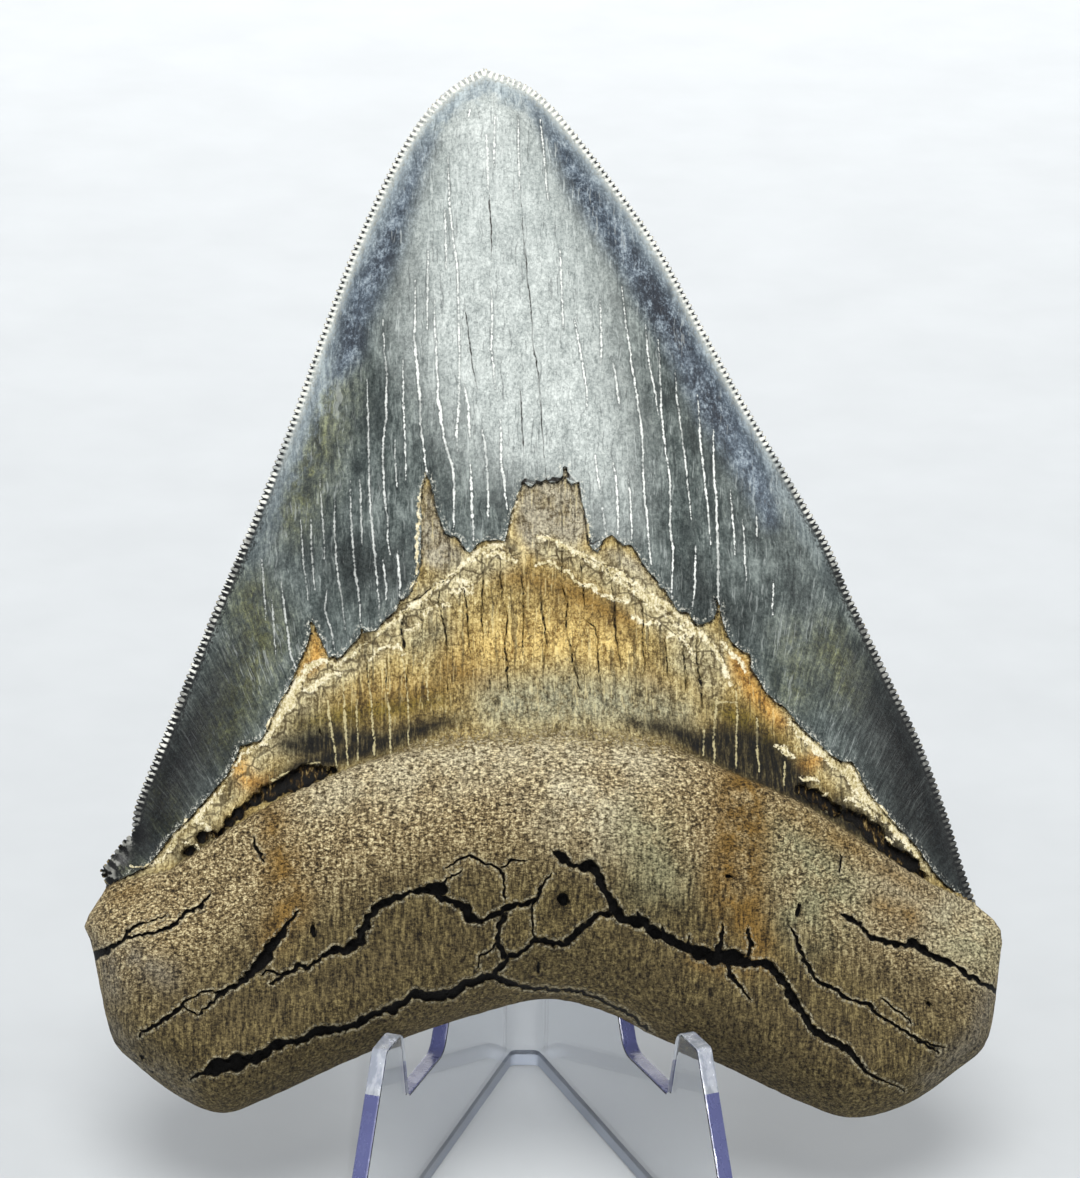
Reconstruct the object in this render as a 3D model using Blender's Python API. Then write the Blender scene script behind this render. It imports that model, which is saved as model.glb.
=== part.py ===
"""Megalodon tooth resting in the notches of a folded clear acrylic stand, at real size.

World frame: +Z up, the stand's bottom edges on Z = 0, the tooth's lingual face towards -Y.
The origin is the bottom centre of the whole object's box.

The tooth is drawn in its own face frame, in millimetres: u across the face, v up it from the
lowest point of the root, w out of it towards the viewer.  One outline closes both faces: the
serrated cutting edges of the crown and the rounded rim of the root.
"""

import math

import bmesh
import bpy
import numpy as np
from mathutils import Vector
from mathutils.geometry import delaunay_2d_cdt

MM = 0.001

# How the tooth stands: its lean from upright, and where its face frame's origin is.
LEAN = math.radians(26.0)
TOOTH_FOOT = (-0.06, -17.0, 10.3)

# Outline of the face.  The crown's edges run up to the tip, the root's rim runs left to right.
TIP = (-7.3, 131.5)
CROWN_LEFT = [
    (-51.2, 35.6), (-50.9, 38.8), (-48.6, 44.8), (-46.3, 50.5), (-41.6, 62.4), (-36.5, 74.4),
    (-31.8, 86.4), (-27.6, 98.4), (-23.0, 110.5), (-17.0, 122.6), (-12.0, 128.6), TIP,
]
CROWN_RIGHT = [
    TIP, (-1.0, 128.8), (4.8, 122.7), (13.7, 110.6), (20.4, 98.5), (25.3, 89.5), (30.7, 80.4),
    (36.1, 71.4), (39.3, 65.4), (43.9, 53.3), (47.2, 47.3), (51.1, 35.3), (53.9, 26.6),
]
SHOULDER_LEFT = [(-54.3, 29.3), (-55.0, 31.0), (-52.0, 35.0), (-51.2, 35.6)]
ROOT_RIM = [
    (-54.3, 29.3), (-57.1, 24.4), (-56.2, 21.8), (-53.8, 10.9), (-51.0, 7.4), (-45.2, 3.0),
    (-40.0, 1.0), (-35.0, 2.5), (-24.8, 7.1), (-16.3, 10.5), (-8.0, 13.1), (0.0, 14.8),
    (7.5, 13.1), (13.5, 10.1), (20.6, 7.1), (31.6, 1.9), (37.8, 0.0), (44.7, 1.7), (50.9, 5.8),
    (55.0, 9.8), (56.8, 20.0), (57.1, 22.6), (56.2, 24.6), (53.9, 26.6),
]

# Serrations of the cutting edges.
SERRATION_PITCH = 0.76
SERRATION_DEPTH = 0.38

# Thickness left all round the outline, between both faces.
EDGE_THICKNESS = 0.3

# Lens section of the blade: the slope at the cutting edge, and what it flattens towards.
# Near the edge, the enamel thins over a bevel.
LINGUAL_SLOPE = 0.95
LINGUAL_FLATTEN = 42.0
LABIAL_SLOPE = 0.22
LABIAL_FLATTEN = 60.0
BEVEL_WIDTH = 3.0

# Root: the line where it starts on each face, its ledge, its bulge and its rounded rim.
# The bulge rises and then falls over two spans, measured down from the root's top line.
ROOT_TOP = [
    (-54.3, 29.3), (-46.2, 31.1), (-42.5, 33.6), (-36.3, 37.7), (-30.7, 40.7), (-24.0, 43.4),
    (-15.7, 46.0), (-8.0, 46.9), (0.0, 47.1), (7.0, 46.8), (14.2, 45.8), (20.0, 43.6),
    (31.3, 38.8), (37.4, 35.1), (42.9, 31.8), (48.0, 28.9), (53.9, 26.6),
]
LABIAL_ROOT_TOP = [
    (-54.3, 29.3), (-46.0, 29.6), (-30.0, 32.6), (-12.0, 35.4), (0.0, 34.2), (12.0, 35.2),
    (30.0, 31.4), (44.0, 28.0), (53.9, 26.6),
]
ROOT_LEDGE = 1.6
ROOT_LEDGE_MIDDLE = 0.4
ROOT_BULGE = 6.5
ROOT_BULGE_WIDTH = 26.0
BULGE_RISE = (-6.0, 9.0)
BULGE_FALL = (12.0, 34.0)
LINGUAL_RIM_RADIUS = 9.0
LABIAL_RIM_RADIUS = 7.0
LABIAL_ROOT_DEPTH = 0.4
LABIAL_ROOT_RISE = (1.0, 8.0)

# The gap that runs under the bourlette where the root stands proud of it, on both sides.
UNDERCUT_DEPTH = 1.3
UNDERCUT_WIDTH = 2.2
UNDERCUT_FROM = 23.0
UNDERCUT_TO = 43.0
UNDERCUT_FADE = 4.0

# The enamel's thickness, and the broken line where it ends above the bourlette.
ENAMEL_THICKNESS = 0.5
ENAMEL_END = [
    (-53.4, 30.2), (-47.9, 32.8), (-41.5, 39.8), (-38.0, 44.0), (-35.0, 46.8), (-33.0, 51.6),
    (-30.7, 55.8), (-29.1, 61.6), (-27.6, 58.6), (-25.7, 57.1), (-22.8, 60.2), (-18.7, 62.4),
    (-16.7, 65.4), (-15.8, 73.0), (-14.8, 79.4), (-13.0, 72.8), (-9.5, 69.8), (-5.2, 71.2),
    (-3.0, 78.6), (3.6, 78.7), (5.2, 70.3), (7.0, 71.3), (10.0, 69.6), (14.3, 65.5),
    (17.9, 61.0), (20.2, 61.0), (21.0, 63.6), (22.1, 59.2), (26.6, 52.8), (31.6, 47.9),
    (37.1, 44.2), (42.0, 38.2), (47.1, 31.8), (53.0, 27.8),
]

# Long open cracks of the root's lingual face: half width, depth and route.
CRACKS = [
    (0.5, 1.2, [(-49.6, 10.9), (-40.3, 15.9), (-34.7, 18.8), (-32.0, 22.3), (-30.2, 27.0)]),
    (0.5, 1.2, [(-34.7, 18.4), (-26.3, 21.4), (-23.1, 22.9), (-19.0, 27.1), (-13.4, 28.9),
                (-9.8, 25.4), (-5.6, 25.7), (-1.4, 28.2), (0.5, 31.2), (5.9, 30.6)]),
    (0.65, 1.5, [(-43.3, 5.9), (-36.5, 8.2), (-27.7, 11.4), (-18.2, 15.0), (-12.3, 16.2),
                 (-7.3, 18.2), (-4.3, 16.9), (3.8, 16.2), (12.0, 12.2)]),
    (0.5, 1.2, [(-7.3, 18.2), (-1.3, 22.4), (3.4, 23.5), (6.8, 26.2)]),
    (0.8, 1.8, [(5.9, 30.6), (6.9, 27.6), (8.7, 24.8), (17.5, 20.8), (26.2, 19.0),
                (29.9, 15.0), (32.6, 10.9), (40.1, 5.4), (44.3, 3.9)]),
    (0.45, 1.0, [(29.5, 23.7), (31.5, 18.6), (34.3, 16.5), (39.1, 14.3), (47.3, 8.3)]),
    (0.5, 1.2, [(36.0, 25.3), (42.7, 21.5), (48.3, 20.1), (54.6, 16.4)]),
    (0.5, 1.2, [(-54.6, 20.9), (-50.4, 23.6), (-46.6, 25.3), (-41.5, 27.9)]),
]

# Spacing of the mesh points.
EDGE_RING = (1.0, 2 * SERRATION_PITCH)
RIM_RINGS = (0.35, 1.5, 3.6, 6.4)
RIM_SPACING = 2.6
CRACK_SPACING = 2.2
STEP_SPACING = 2.4
STEP_HALF = 0.25
LEDGE_HALF = 0.45
LINGUAL_SPACING = 3.3
LABIAL_SPACING = 5.0
GRID_ROW = math.sqrt(3.0) / 2.0
GRID_CLEARANCE = 0.62
OUTLINE_CLEARANCE = 0.3

# Acrylic stand: one sheet cut flat, then folded twice into a V about a narrow flat spine.
# The wing's corners are measured from the spine's corner: how far out, how high, corner radius.
SHEET = 2.0
FOLD_POINT = (-1.21, 17.2)
SPINE_HALF = 1.0
FOLD_RADIUS = 1.0
WING_ANGLE = math.radians(20.3)
WING = [
    (62.1, 0.0, 0.5),
    (49.0, 26.1, 0.8),
    (42.2, 24.8, 2.2),
    (40.6, 16.0, 0.5),
    (27.5, 15.4, 2.5),
    (7.5, 56.0, 4.0),
]
FOLD_CUTS = 5
ARC_STEPS = 5


def ramp(x, start, end):
    """0 before start, 1 after end, and a smooth rise between them."""
    t = np.clip((x - start) / (end - start), 0.0, 1.0)
    return t * t * (3.0 - 2.0 * t)


def smooth_curve(points, spacing):
    """A Catmull-Rom curve through the points, as a polyline of equal steps."""
    through = np.array(points, float)
    ends = np.vstack([2 * through[0] - through[1], through, 2 * through[-1] - through[-2]])
    t = np.linspace(0.0, 1.0, 16, endpoint=False)[:, None]
    spans = []
    for a, b, c, d in zip(ends, ends[1:], ends[2:], ends[3:]):
        square = (2 * a - 5 * b + 4 * c - d) * t**2
        cube = (3 * b - a - 3 * c + d) * t**3
        spans.append(0.5 * (2 * b + (c - a) * t + square + cube))
    return equal_steps(np.vstack([*spans, through[-1:]]), spacing)


def equal_steps(line, spacing):
    """The same polyline, cut again into equal steps of about the spacing."""
    steps = np.linalg.norm(np.diff(line, axis=0), axis=1)
    length = np.concatenate([[0.0], np.cumsum(steps)])
    at = np.linspace(0.0, length[-1], max(2, round(length[-1] / spacing) + 1))
    return np.column_stack([np.interp(at, length, line[:, k]) for k in (0, 1)])


def normals(line):
    """Unit vectors to the left of a polyline, one at each of its points."""
    along = np.gradient(line, axis=0)
    along /= np.linalg.norm(along, axis=1)[:, None]
    return np.column_stack([-along[:, 1], along[:, 0]])


def distance(points, line):
    """How far each point is from a polyline."""
    start, along = line[:-1], np.diff(line, axis=0)
    t = ((points[:, None] - start) * along).sum(2) / (along**2).sum(1)
    nearest = start + np.clip(t, 0.0, 1.0)[..., None] * along
    return np.linalg.norm(points[:, None] - nearest, axis=2).min(1)


def inside(points, polygon):
    """Whether each point is inside a closed polygon."""
    x, y = points[:, :1], points[:, 1:]
    x0, y0 = polygon.T
    x1, y1 = np.roll(polygon, -1, axis=0).T
    crosses = (y0 > y) != (y1 > y)
    rise = np.where(y1 == y0, 1e-9, y1 - y0)
    return (crosses & (x < x0 + (y - y0) * (x1 - x0) / rise)).sum(1) % 2 == 1


LEFT_EDGE = smooth_curve(CROWN_LEFT, 1.5)
RIGHT_EDGE = smooth_curve(CROWN_RIGHT, 1.5)
RIM = smooth_curve(ROOT_RIM, 1.5)
ENAMEL_AREA = np.vstack([LEFT_EDGE, RIGHT_EDGE[1:], ENAMEL_END[::-1]])
CRACK_LINES = [(half, depth, smooth_curve(route, CRACK_SPACING)) for half, depth, route in CRACKS]


def blade(points):
    """Half the mean of the distances to both cutting edges: 0 on them, most in the middle."""
    left, right = distance(points, LEFT_EDGE), distance(points, RIGHT_EDGE)
    return left * right / (left + right + 1e-9)


def rim_round(points, radius):
    """Quarter-circle rise from 0 on the root's rim to 1 a radius inside it."""
    t = np.clip(distance(points, RIM) / radius, 0.0, 1.0)
    return np.sqrt(1.0 - (1.0 - t) ** 2)


def below_root_top(points, line):
    return np.interp(points[:, 0], *np.array(line).T) - points[:, 1]


def lingual_depth(points):
    """Height of the viewer's face of the tooth over its outline."""
    across = points[:, 0]
    mid = blade(points)
    below = below_root_top(points, ROOT_TOP)
    depth = LINGUAL_SLOPE * mid / (1.0 + mid / LINGUAL_FLATTEN)
    enamel = inside(points, ENAMEL_AREA)
    enamel = enamel * ramp(distance(points, np.array(ENAMEL_END)), 0.0, STEP_HALF)
    depth += ENAMEL_THICKNESS * enamel * ramp(mid, 0.0, BEVEL_WIDTH)
    middle = np.exp(-((across / (0.5 * ROOT_BULGE_WIDTH)) ** 2))
    bulge = np.exp(-((across / ROOT_BULGE_WIDTH) ** 2)) * ramp(below, *BULGE_RISE)
    depth += ROOT_BULGE * bulge * (1.0 - ramp(below, *BULGE_FALL))
    ledge = ROOT_LEDGE * (1.0 - middle) + ROOT_LEDGE_MIDDLE * middle
    depth += ledge * ramp(below, -LEDGE_HALF, LEDGE_HALF)
    sides = ramp(np.abs(across), UNDERCUT_FROM - UNDERCUT_FADE, UNDERCUT_FROM)
    sides *= 1.0 - ramp(np.abs(across), UNDERCUT_TO, UNDERCUT_TO + UNDERCUT_FADE)
    gap = ramp(below, -UNDERCUT_WIDTH, -LEDGE_HALF) * (1.0 - ramp(below, -LEDGE_HALF, LEDGE_HALF))
    depth -= UNDERCUT_DEPTH * sides * gap
    for half, crack_depth, line in CRACK_LINES:
        depth -= crack_depth * np.clip(1.0 - distance(points, line) / half, 0.0, 1.0)
    return EDGE_THICKNESS / 2 + depth * rim_round(points, LINGUAL_RIM_RADIUS)


def labial_depth(points):
    """Depth of the back face, which is nearly flat, below the outline."""
    mid = blade(points)
    below = below_root_top(points, LABIAL_ROOT_TOP)
    depth = LABIAL_SLOPE * mid / (1.0 + mid / LABIAL_FLATTEN)
    depth += LABIAL_ROOT_DEPTH * ramp(below, *LABIAL_ROOT_RISE)
    crown = 1.0 - ramp(below, -STEP_HALF, STEP_HALF)
    depth += ENAMEL_THICKNESS * crown * ramp(mid, 0.0, BEVEL_WIDTH)
    return -EDGE_THICKNESS / 2 - depth * rim_round(points, LABIAL_RIM_RADIUS)


def serrated(line):
    """The cutting edge with every second point pressed in, so that it reads as fine teeth."""
    points = equal_steps(line, SERRATION_PITCH / 2)
    points[1:-1:2] -= SERRATION_DEPTH * normals(points)[1:-1:2]
    return points


def tooth_outline():
    """The closed outline, clockwise from the left shoulder over the tip."""
    rim = equal_steps(RIM, RIM_SPACING)[::-1]
    shoulder = equal_steps(np.array(SHOULDER_LEFT), SERRATION_PITCH)
    parts = [shoulder, serrated(LEFT_EDGE)[1:], serrated(RIGHT_EDGE)[1:], rim[1:-1]]
    return np.vstack(parts)


def crack_rows():
    """Both brinks and the bottom of each crack."""
    rows = []
    for half, _, line in CRACK_LINES:
        side = half * normals(line)
        rows += [line, line + side, line - side]
    return rows


def step_rows(line, half, spacing):
    """Two rows, one along each side of a step in the surface."""
    middle = equal_steps(np.array(line), spacing)
    side = half * normals(middle)
    return [middle + side, middle - side]


def shared_rows():
    """Rows just inside the cutting edges and the rim, which both faces have."""
    offset, spacing = EDGE_RING
    rows = []
    for edge in (LEFT_EDGE, RIGHT_EDGE):
        line = equal_steps(edge, spacing)
        rows.append(line - offset * normals(line))
    for depth in RIM_RINGS:
        line = equal_steps(RIM, RIM_SPACING)
        rows.append(line + depth * normals(line))
    return rows


def face_points(outline, rows, spacing):
    """The points that shape one face: its rows, then a staggered grid in the open areas."""
    kept = [outline]
    for row in rows:
        row = row[inside(row, outline)]
        clear = distance(row, np.vstack([outline, outline[:1]])) > OUTLINE_CLEARANCE
        kept.append(row[clear])
    low, high = outline.min(0), outline.max(0)
    grid = []
    for number, v in enumerate(np.arange(low[1], high[1], GRID_ROW * spacing)):
        for u in np.arange(low[0] + 0.5 * spacing * (number % 2), high[0], spacing):
            grid.append((u, v))
    grid = np.array(grid)
    grid = grid[inside(grid, outline)]
    fixed = np.vstack(kept)
    gap = np.linalg.norm(grid[:, None] - fixed, axis=2).min(1)
    return [*kept[1:], grid[gap > GRID_CLEARANCE * spacing]]


def face_mesh(outline, rows, loose_rows, spacing, depth_of):
    """Triangles over the outline, with the rows kept as edges, lifted by the depth function.

    The last value says which of the points is each point of the outline.
    """
    parts = face_points(outline, [*rows, *loose_rows], spacing)
    points = np.vstack([outline, *parts])
    edges = []
    first = len(outline)
    for part in parts[: len(rows)]:
        joined = np.linalg.norm(np.diff(part, axis=0), axis=1) < 2.0 * CRACK_SPACING
        edges += [(first + k, first + k + 1) for k in np.flatnonzero(joined).tolist()]
        first += len(part)
    flat, _, faces, origins, _, _ = delaunay_2d_cdt(
        [Vector(point) for point in points.tolist()], edges, [list(range(len(outline)))], 1, 1e-4
    )
    flat = np.array([tuple(point) for point in flat])
    depth = depth_of(flat)
    on_outline = {at: k for k, origin in enumerate(origins) for at in origin if at < len(outline)}
    return flat, depth, faces, [on_outline[at] for at in range(len(outline))]


def in_world(flat, depth):
    """Face frame to world, in metres."""
    u, v, w = flat[:, 0], flat[:, 1], depth
    y = TOOTH_FOOT[1] + v * math.sin(LEAN) - w * math.cos(LEAN)
    z = TOOTH_FOOT[2] + v * math.cos(LEAN) + w * math.sin(LEAN)
    return MM * np.column_stack([TOOTH_FOOT[0] + u, y, z])


def finish_material(name, color, roughness, transmission=0.0, ior=1.5):
    material = bpy.data.materials.new(name)
    material.use_nodes = True
    shader = material.node_tree.nodes["Principled BSDF"]
    shader.inputs["Base Color"].default_value = (*color, 1.0)
    shader.inputs["Roughness"].default_value = roughness
    shader.inputs["Metallic"].default_value = 0.0
    shader.inputs["Transmission Weight"].default_value = transmission
    shader.inputs["IOR"].default_value = ior
    return material


def add_object(name, bm, materials):
    mesh = bpy.data.meshes.new(name)
    bm.to_mesh(mesh)
    bm.free()
    for material in materials:
        mesh.materials.append(material)
    part = bpy.data.objects.new(name, mesh)
    bpy.context.scene.collection.objects.link(part)
    return part


def make_tooth():
    """Both faces over the one outline, joined along it into one closed solid."""
    outline = tooth_outline()
    shared = shared_rows()
    lingual_rows = [*crack_rows(), *step_rows(ENAMEL_END, STEP_HALF, STEP_SPACING)]
    lingual_rows += step_rows(ROOT_TOP, LEDGE_HALF, STEP_SPACING)
    labial_rows = step_rows(LABIAL_ROOT_TOP, STEP_HALF, 2 * STEP_SPACING)
    sides = [
        (lingual_rows, LINGUAL_SPACING, lingual_depth, False),
        (labial_rows, LABIAL_SPACING, labial_depth, True),
    ]
    bm = bmesh.new()
    rims = []
    for rows, spacing, depth_of, flip in sides:
        flat, depth, faces, on_outline = face_mesh(outline, rows, shared, spacing, depth_of)
        verts = [bm.verts.new(place) for place in in_world(flat, depth).tolist()]
        rims.append([verts[k] for k in on_outline])
        middles = flat[np.array(faces)].mean(1)
        root_top = LABIAL_ROOT_TOP if flip else ROOT_TOP
        root = below_root_top(middles, root_top) > 0.0
        enamel = ~root if flip else inside(middles, ENAMEL_AREA)
        for face, is_root, is_enamel in zip(faces, root, enamel):
            corners = [verts[k] for k in (reversed(face) if flip else face)]
            new = bm.faces.new(corners)
            new.material_index = 0 if is_enamel else 2 if is_root else 1
            new.smooth = True
    lingual_rim, labial_rim = rims
    for k in range(len(outline)):
        bm.faces.new((lingual_rim[k - 1], lingual_rim[k], labial_rim[k], labial_rim[k - 1]))
    materials = [
        finish_material("tooth_enamel", (0.20, 0.22, 0.24), 0.25),
        finish_material("tooth_bourlette", (0.42, 0.31, 0.14), 0.5),
        finish_material("tooth_root", (0.20, 0.15, 0.09), 0.7),
    ]
    tooth = add_object("tooth", bm, materials)
    tooth.data.set_sharp_from_angle(angle=math.radians(50.0))
    return tooth


def rounded(corners):
    """A polyline through the corners, each one turned by an arc of its own radius."""
    points = []
    for k, (x, y, radius) in enumerate(corners):
        here = Vector((x, y))
        before = (Vector(corners[k - 1][:2]) - here).normalized()
        after = (Vector(corners[(k + 1) % len(corners)][:2]) - here).normalized()
        half = before.angle(after) / 2.0
        if radius == 0.0:
            points.append(here)
            continue
        centre = here + (before + after).normalized() * radius / math.sin(half)
        start = here + before * radius / math.tan(half) - centre
        end = here + after * radius / math.tan(half) - centre
        turns = [start.slerp(end, t / ARC_STEPS) for t in range(ARC_STEPS + 1)]
        points += [centre + radius * turn for turn in turns]
    return points


def sheet_outline():
    """The flat sheet before it is folded: along it from the middle, and up."""
    turn = math.pi / 2 - WING_ANGLE
    wing_start = SPINE_HALF + FOLD_RADIUS * (turn - math.tan(turn / 2))
    right = [(wing_start + out, up, radius) for out, up, radius in WING]
    left = [(-along, up, radius) for along, up, radius in reversed(right)]
    return rounded(right + left)


def fold(along, up, back):
    """Where a point of the flat sheet goes: back is how deep it is in the sheet's thickness."""
    turn = math.pi / 2 - WING_ANGLE
    side = math.copysign(1.0, along)
    bend = min(max((abs(along) - SPINE_HALF) / FOLD_RADIUS, 0.0), turn)
    straight = max(abs(along) - SPINE_HALF - FOLD_RADIUS * turn, 0.0)
    reach = FOLD_RADIUS + back
    x = min(abs(along), SPINE_HALF) + reach * math.sin(bend) + straight * math.cos(turn)
    y = reach * math.cos(bend) - FOLD_RADIUS - straight * math.sin(turn)
    return Vector((FOLD_POINT[0] + side * x, FOLD_POINT[1] + y, up)) * MM


def make_stand():
    """One sheet: its outline thickened, scored across both folds, then folded."""
    bm = bmesh.new()
    front = bm.faces.new([bm.verts.new((x, 0.0, z)) for x, z in sheet_outline()])
    grown = bmesh.ops.extrude_face_region(bm, geom=[front], use_keep_orig=True)
    back = [item for item in grown["geom"] if isinstance(item, bmesh.types.BMVert)]
    bmesh.ops.translate(bm, verts=back, vec=(0.0, SHEET, 0.0))
    arc = FOLD_RADIUS * (math.pi / 2 - WING_ANGLE)
    for side in (-1.0, 1.0):
        for cut in range(FOLD_CUTS + 1):
            along = side * (SPINE_HALF + arc * cut / FOLD_CUTS)
            everything = [*bm.verts, *bm.edges, *bm.faces]
            bmesh.ops.bisect_plane(
                bm, geom=everything, plane_co=(along, 0.0, 0.0), plane_no=(1.0, 0.0, 0.0)
            )
    for vert in bm.verts:
        vert.co = fold(vert.co.x, vert.co.z, vert.co.y)
    bmesh.ops.recalc_face_normals(bm, faces=bm.faces)
    clear = finish_material("stand_acrylic", (0.93, 0.94, 0.97), 0.04, transmission=1.0, ior=1.49)
    return add_object("stand", bm, [clear])


def main():
    for old in list(bpy.data.objects):
        bpy.data.objects.remove(old)
    make_tooth()
    make_stand()


main()
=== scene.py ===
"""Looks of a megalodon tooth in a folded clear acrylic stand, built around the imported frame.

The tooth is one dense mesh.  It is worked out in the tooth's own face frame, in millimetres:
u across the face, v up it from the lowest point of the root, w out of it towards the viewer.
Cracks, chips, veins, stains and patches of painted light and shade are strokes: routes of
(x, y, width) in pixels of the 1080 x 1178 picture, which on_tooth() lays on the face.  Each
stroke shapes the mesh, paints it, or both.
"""

import math

import bmesh
import bpy
import numpy as np
from mathutils import Euler, Matrix, Vector, kdtree, noise
from mathutils.geometry import delaunay_2d_cdt


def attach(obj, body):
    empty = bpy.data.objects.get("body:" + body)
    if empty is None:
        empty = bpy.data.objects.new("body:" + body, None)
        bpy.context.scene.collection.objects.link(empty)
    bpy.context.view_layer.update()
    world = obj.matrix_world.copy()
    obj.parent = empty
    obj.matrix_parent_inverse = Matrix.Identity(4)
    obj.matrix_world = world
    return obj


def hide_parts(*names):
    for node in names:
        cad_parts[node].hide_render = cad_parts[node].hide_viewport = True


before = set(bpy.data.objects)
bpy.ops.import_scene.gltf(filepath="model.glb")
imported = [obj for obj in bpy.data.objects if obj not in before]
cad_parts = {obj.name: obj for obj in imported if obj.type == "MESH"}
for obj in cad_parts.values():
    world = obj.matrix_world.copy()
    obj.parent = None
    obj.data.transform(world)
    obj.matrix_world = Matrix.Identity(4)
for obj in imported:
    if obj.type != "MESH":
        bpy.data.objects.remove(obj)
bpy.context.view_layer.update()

MM = 0.001

# ---------------------------------------------------------------------------------------------
# The picture: its size and the camera, in millimetres and degrees.
PICTURE = (1080, 1178)
FOCAL_PIXELS = 5000.0
SENSOR = 36.0
CAMERA_PLACE = (-28.42, -565.12, 304.63)
CAMERA_TURN = (90.0 - 22.14, -2.77, 1.01)
PIXEL_ON_TOOTH = 0.1221
# A ray's place on the face is found in rounds, from a guess at the face's height there.
GUESSED_DEPTH = 8.0
RAY_ROUNDS = 12

# ---------------------------------------------------------------------------------------------
# The tooth's form.  Its large shapes are the frame's own, and the fine relief is only here.
LEAN = math.radians(26.0)
TOOTH_FOOT = (-0.06, -17.0, 10.3)
TIP = (-7.3, 131.5)
CROWN_LEFT = [
    (-51.2, 35.6), (-50.9, 38.8), (-48.6, 44.8), (-46.3, 50.5), (-41.6, 62.4), (-36.5, 74.4),
    (-31.8, 86.4), (-27.6, 98.4), (-23.0, 110.5), (-17.0, 122.6), (-12.0, 128.6), TIP,
]
CROWN_RIGHT = [
    TIP, (-1.0, 128.8), (4.8, 122.7), (13.7, 110.6), (20.4, 98.5), (25.3, 89.5), (30.7, 80.4),
    (35.9, 71.4), (38.4, 65.4), (44.1, 53.3), (47.4, 46.2), (50.7, 36.8), (52.2, 31.6),
    (53.9, 26.6),
]
SHOULDER_LEFT = [(-54.3, 29.3), (-55.0, 31.0), (-52.0, 35.0), (-51.2, 35.6)]
ROOT_RIM = [
    (-54.3, 29.3), (-57.1, 24.4), (-56.2, 21.8), (-53.8, 10.9), (-51.0, 7.4), (-45.2, 3.0),
    (-40.0, 1.0), (-35.0, 2.5), (-24.8, 7.1), (-16.3, 10.5), (-8.0, 13.1), (0.0, 14.8),
    (7.5, 13.1), (13.5, 10.1), (20.6, 7.1), (31.6, 1.9), (37.8, 0.0), (44.7, 1.7), (50.9, 5.8),
    (55.0, 9.8), (56.8, 20.0), (57.1, 22.6), (56.2, 24.6), (53.9, 26.6),
]
ROOT_TOP = [
    (-54.3, 29.3), (-46.2, 31.1), (-42.5, 33.6), (-36.3, 37.7), (-30.7, 40.7), (-24.0, 43.4),
    (-15.7, 46.0), (-8.0, 46.9), (0.0, 47.1), (7.0, 46.8), (14.2, 45.8), (20.0, 43.6),
    (31.3, 38.8), (37.4, 35.1), (42.9, 31.8), (48.0, 28.9), (53.9, 26.6),
]
LABIAL_ROOT_TOP = [
    (-54.3, 29.3), (-46.0, 29.6), (-30.0, 32.6), (-12.0, 35.4), (0.0, 34.2), (12.0, 35.2),
    (30.0, 31.4), (44.0, 28.0), (53.9, 26.6),
]
LEDGE_RISE = (-0.25, 0.7)
SERRATION_PITCH = 0.76
SERRATION_DEPTH = 0.38
# Towards the tip the serrations are worn: between these heights, to this share of their depth.
WORN_TIP = ((119.0, 128.5), (1.0, 0.3))
SHOULDER_PITCH = 1.15
EDGE_THICKNESS = 0.3
LINGUAL_SLOPE = 0.95
LINGUAL_FLATTEN = 42.0
LABIAL_SLOPE = 0.22
LABIAL_FLATTEN = 60.0
BEVEL_WIDTH = 3.0
ROOT_LEDGE = 1.6
ROOT_LEDGE_MIDDLE = 0.4
ROOT_BULGE = 6.5
ROOT_BULGE_WIDTH = 26.0
BULGE_RISE = (-6.0, 9.0)
BULGE_FALL = (12.0, 34.0)
LINGUAL_RIM_RADIUS = 9.0
LABIAL_RIM_RADIUS = 7.0
LABIAL_ROOT_DEPTH = 0.4
LABIAL_ROOT_RISE = (1.0, 8.0)
ENAMEL_THICKNESS = 0.5
FIBRES_LEAN_BELOW = 70.0
FIBRES_LEAN_FROM = (14.0, 50.0)
RIM_PRESS = 0.25
RIM_RAGGED = 0.08
# Strokes thinner than this half width wander less.
FULLY_LOOSE = 0.3
HOLLOW_LENGTH = 1.35
HOLLOW_VARIES = 0.9
HOLLOW_RIB = 0.4
# What the fine features add to the face, and between which distances inside their borders it
# sets in; a distance below 0 is outside.
FINE_RELIEF = {
    "split": (-0.25, (-0.1, 0.06)), "dark_vein_and_shade": (-0.08, (-0.1, 0.05)),
    "flake": (0.14, (-0.12, 0.08)), "crust": (0.2, (-0.12, 0.1)),
}
# Ripples of each kind of surface: (height, scale across, scale along, seed).
RIPPLES = {
    "root": ((0.1, 1.15, 1.0, 1.0), (0.12, 0.35, 0.3, 2.0), (0.3, 0.08, 0.07, 3.0)),
    "bourlette": ((0.08, 1.5, 0.3, 4.0), (0.06, 1.3, 1.2, 5.0)),
    "enamel": ((0.02, 0.8, 0.05, 6.0), (0.08, 0.1, 0.05, 7.0)),
    "back_root": ((0.12, 0.5, 0.4, 11.0), (0.3, 0.1, 0.08, 12.0)),
    "back_enamel": ((0.05, 0.2, 0.05, 13.0),),
}
# The back's cracks, as (u, v, half width) in its own frame, and how many veins it has.
BACK_CRACKS = [
    [(-50, 14, 0.3), (-40, 18, 0.4), (-30, 19, 0.3), (-22, 23, 0.35), (-12, 24, 0.15)],
    [(-14, 20, 0.15), (-4, 24, 0.4), (6, 23, 0.4), (18, 19, 0.3), (26, 14, 0.3), (35, 8, 0.1)],
    [(24, 22, 0.15), (34, 19, 0.3), (44, 18, 0.35), (53, 13, 0.3)],
]
BACK_VEINS = 17

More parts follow.
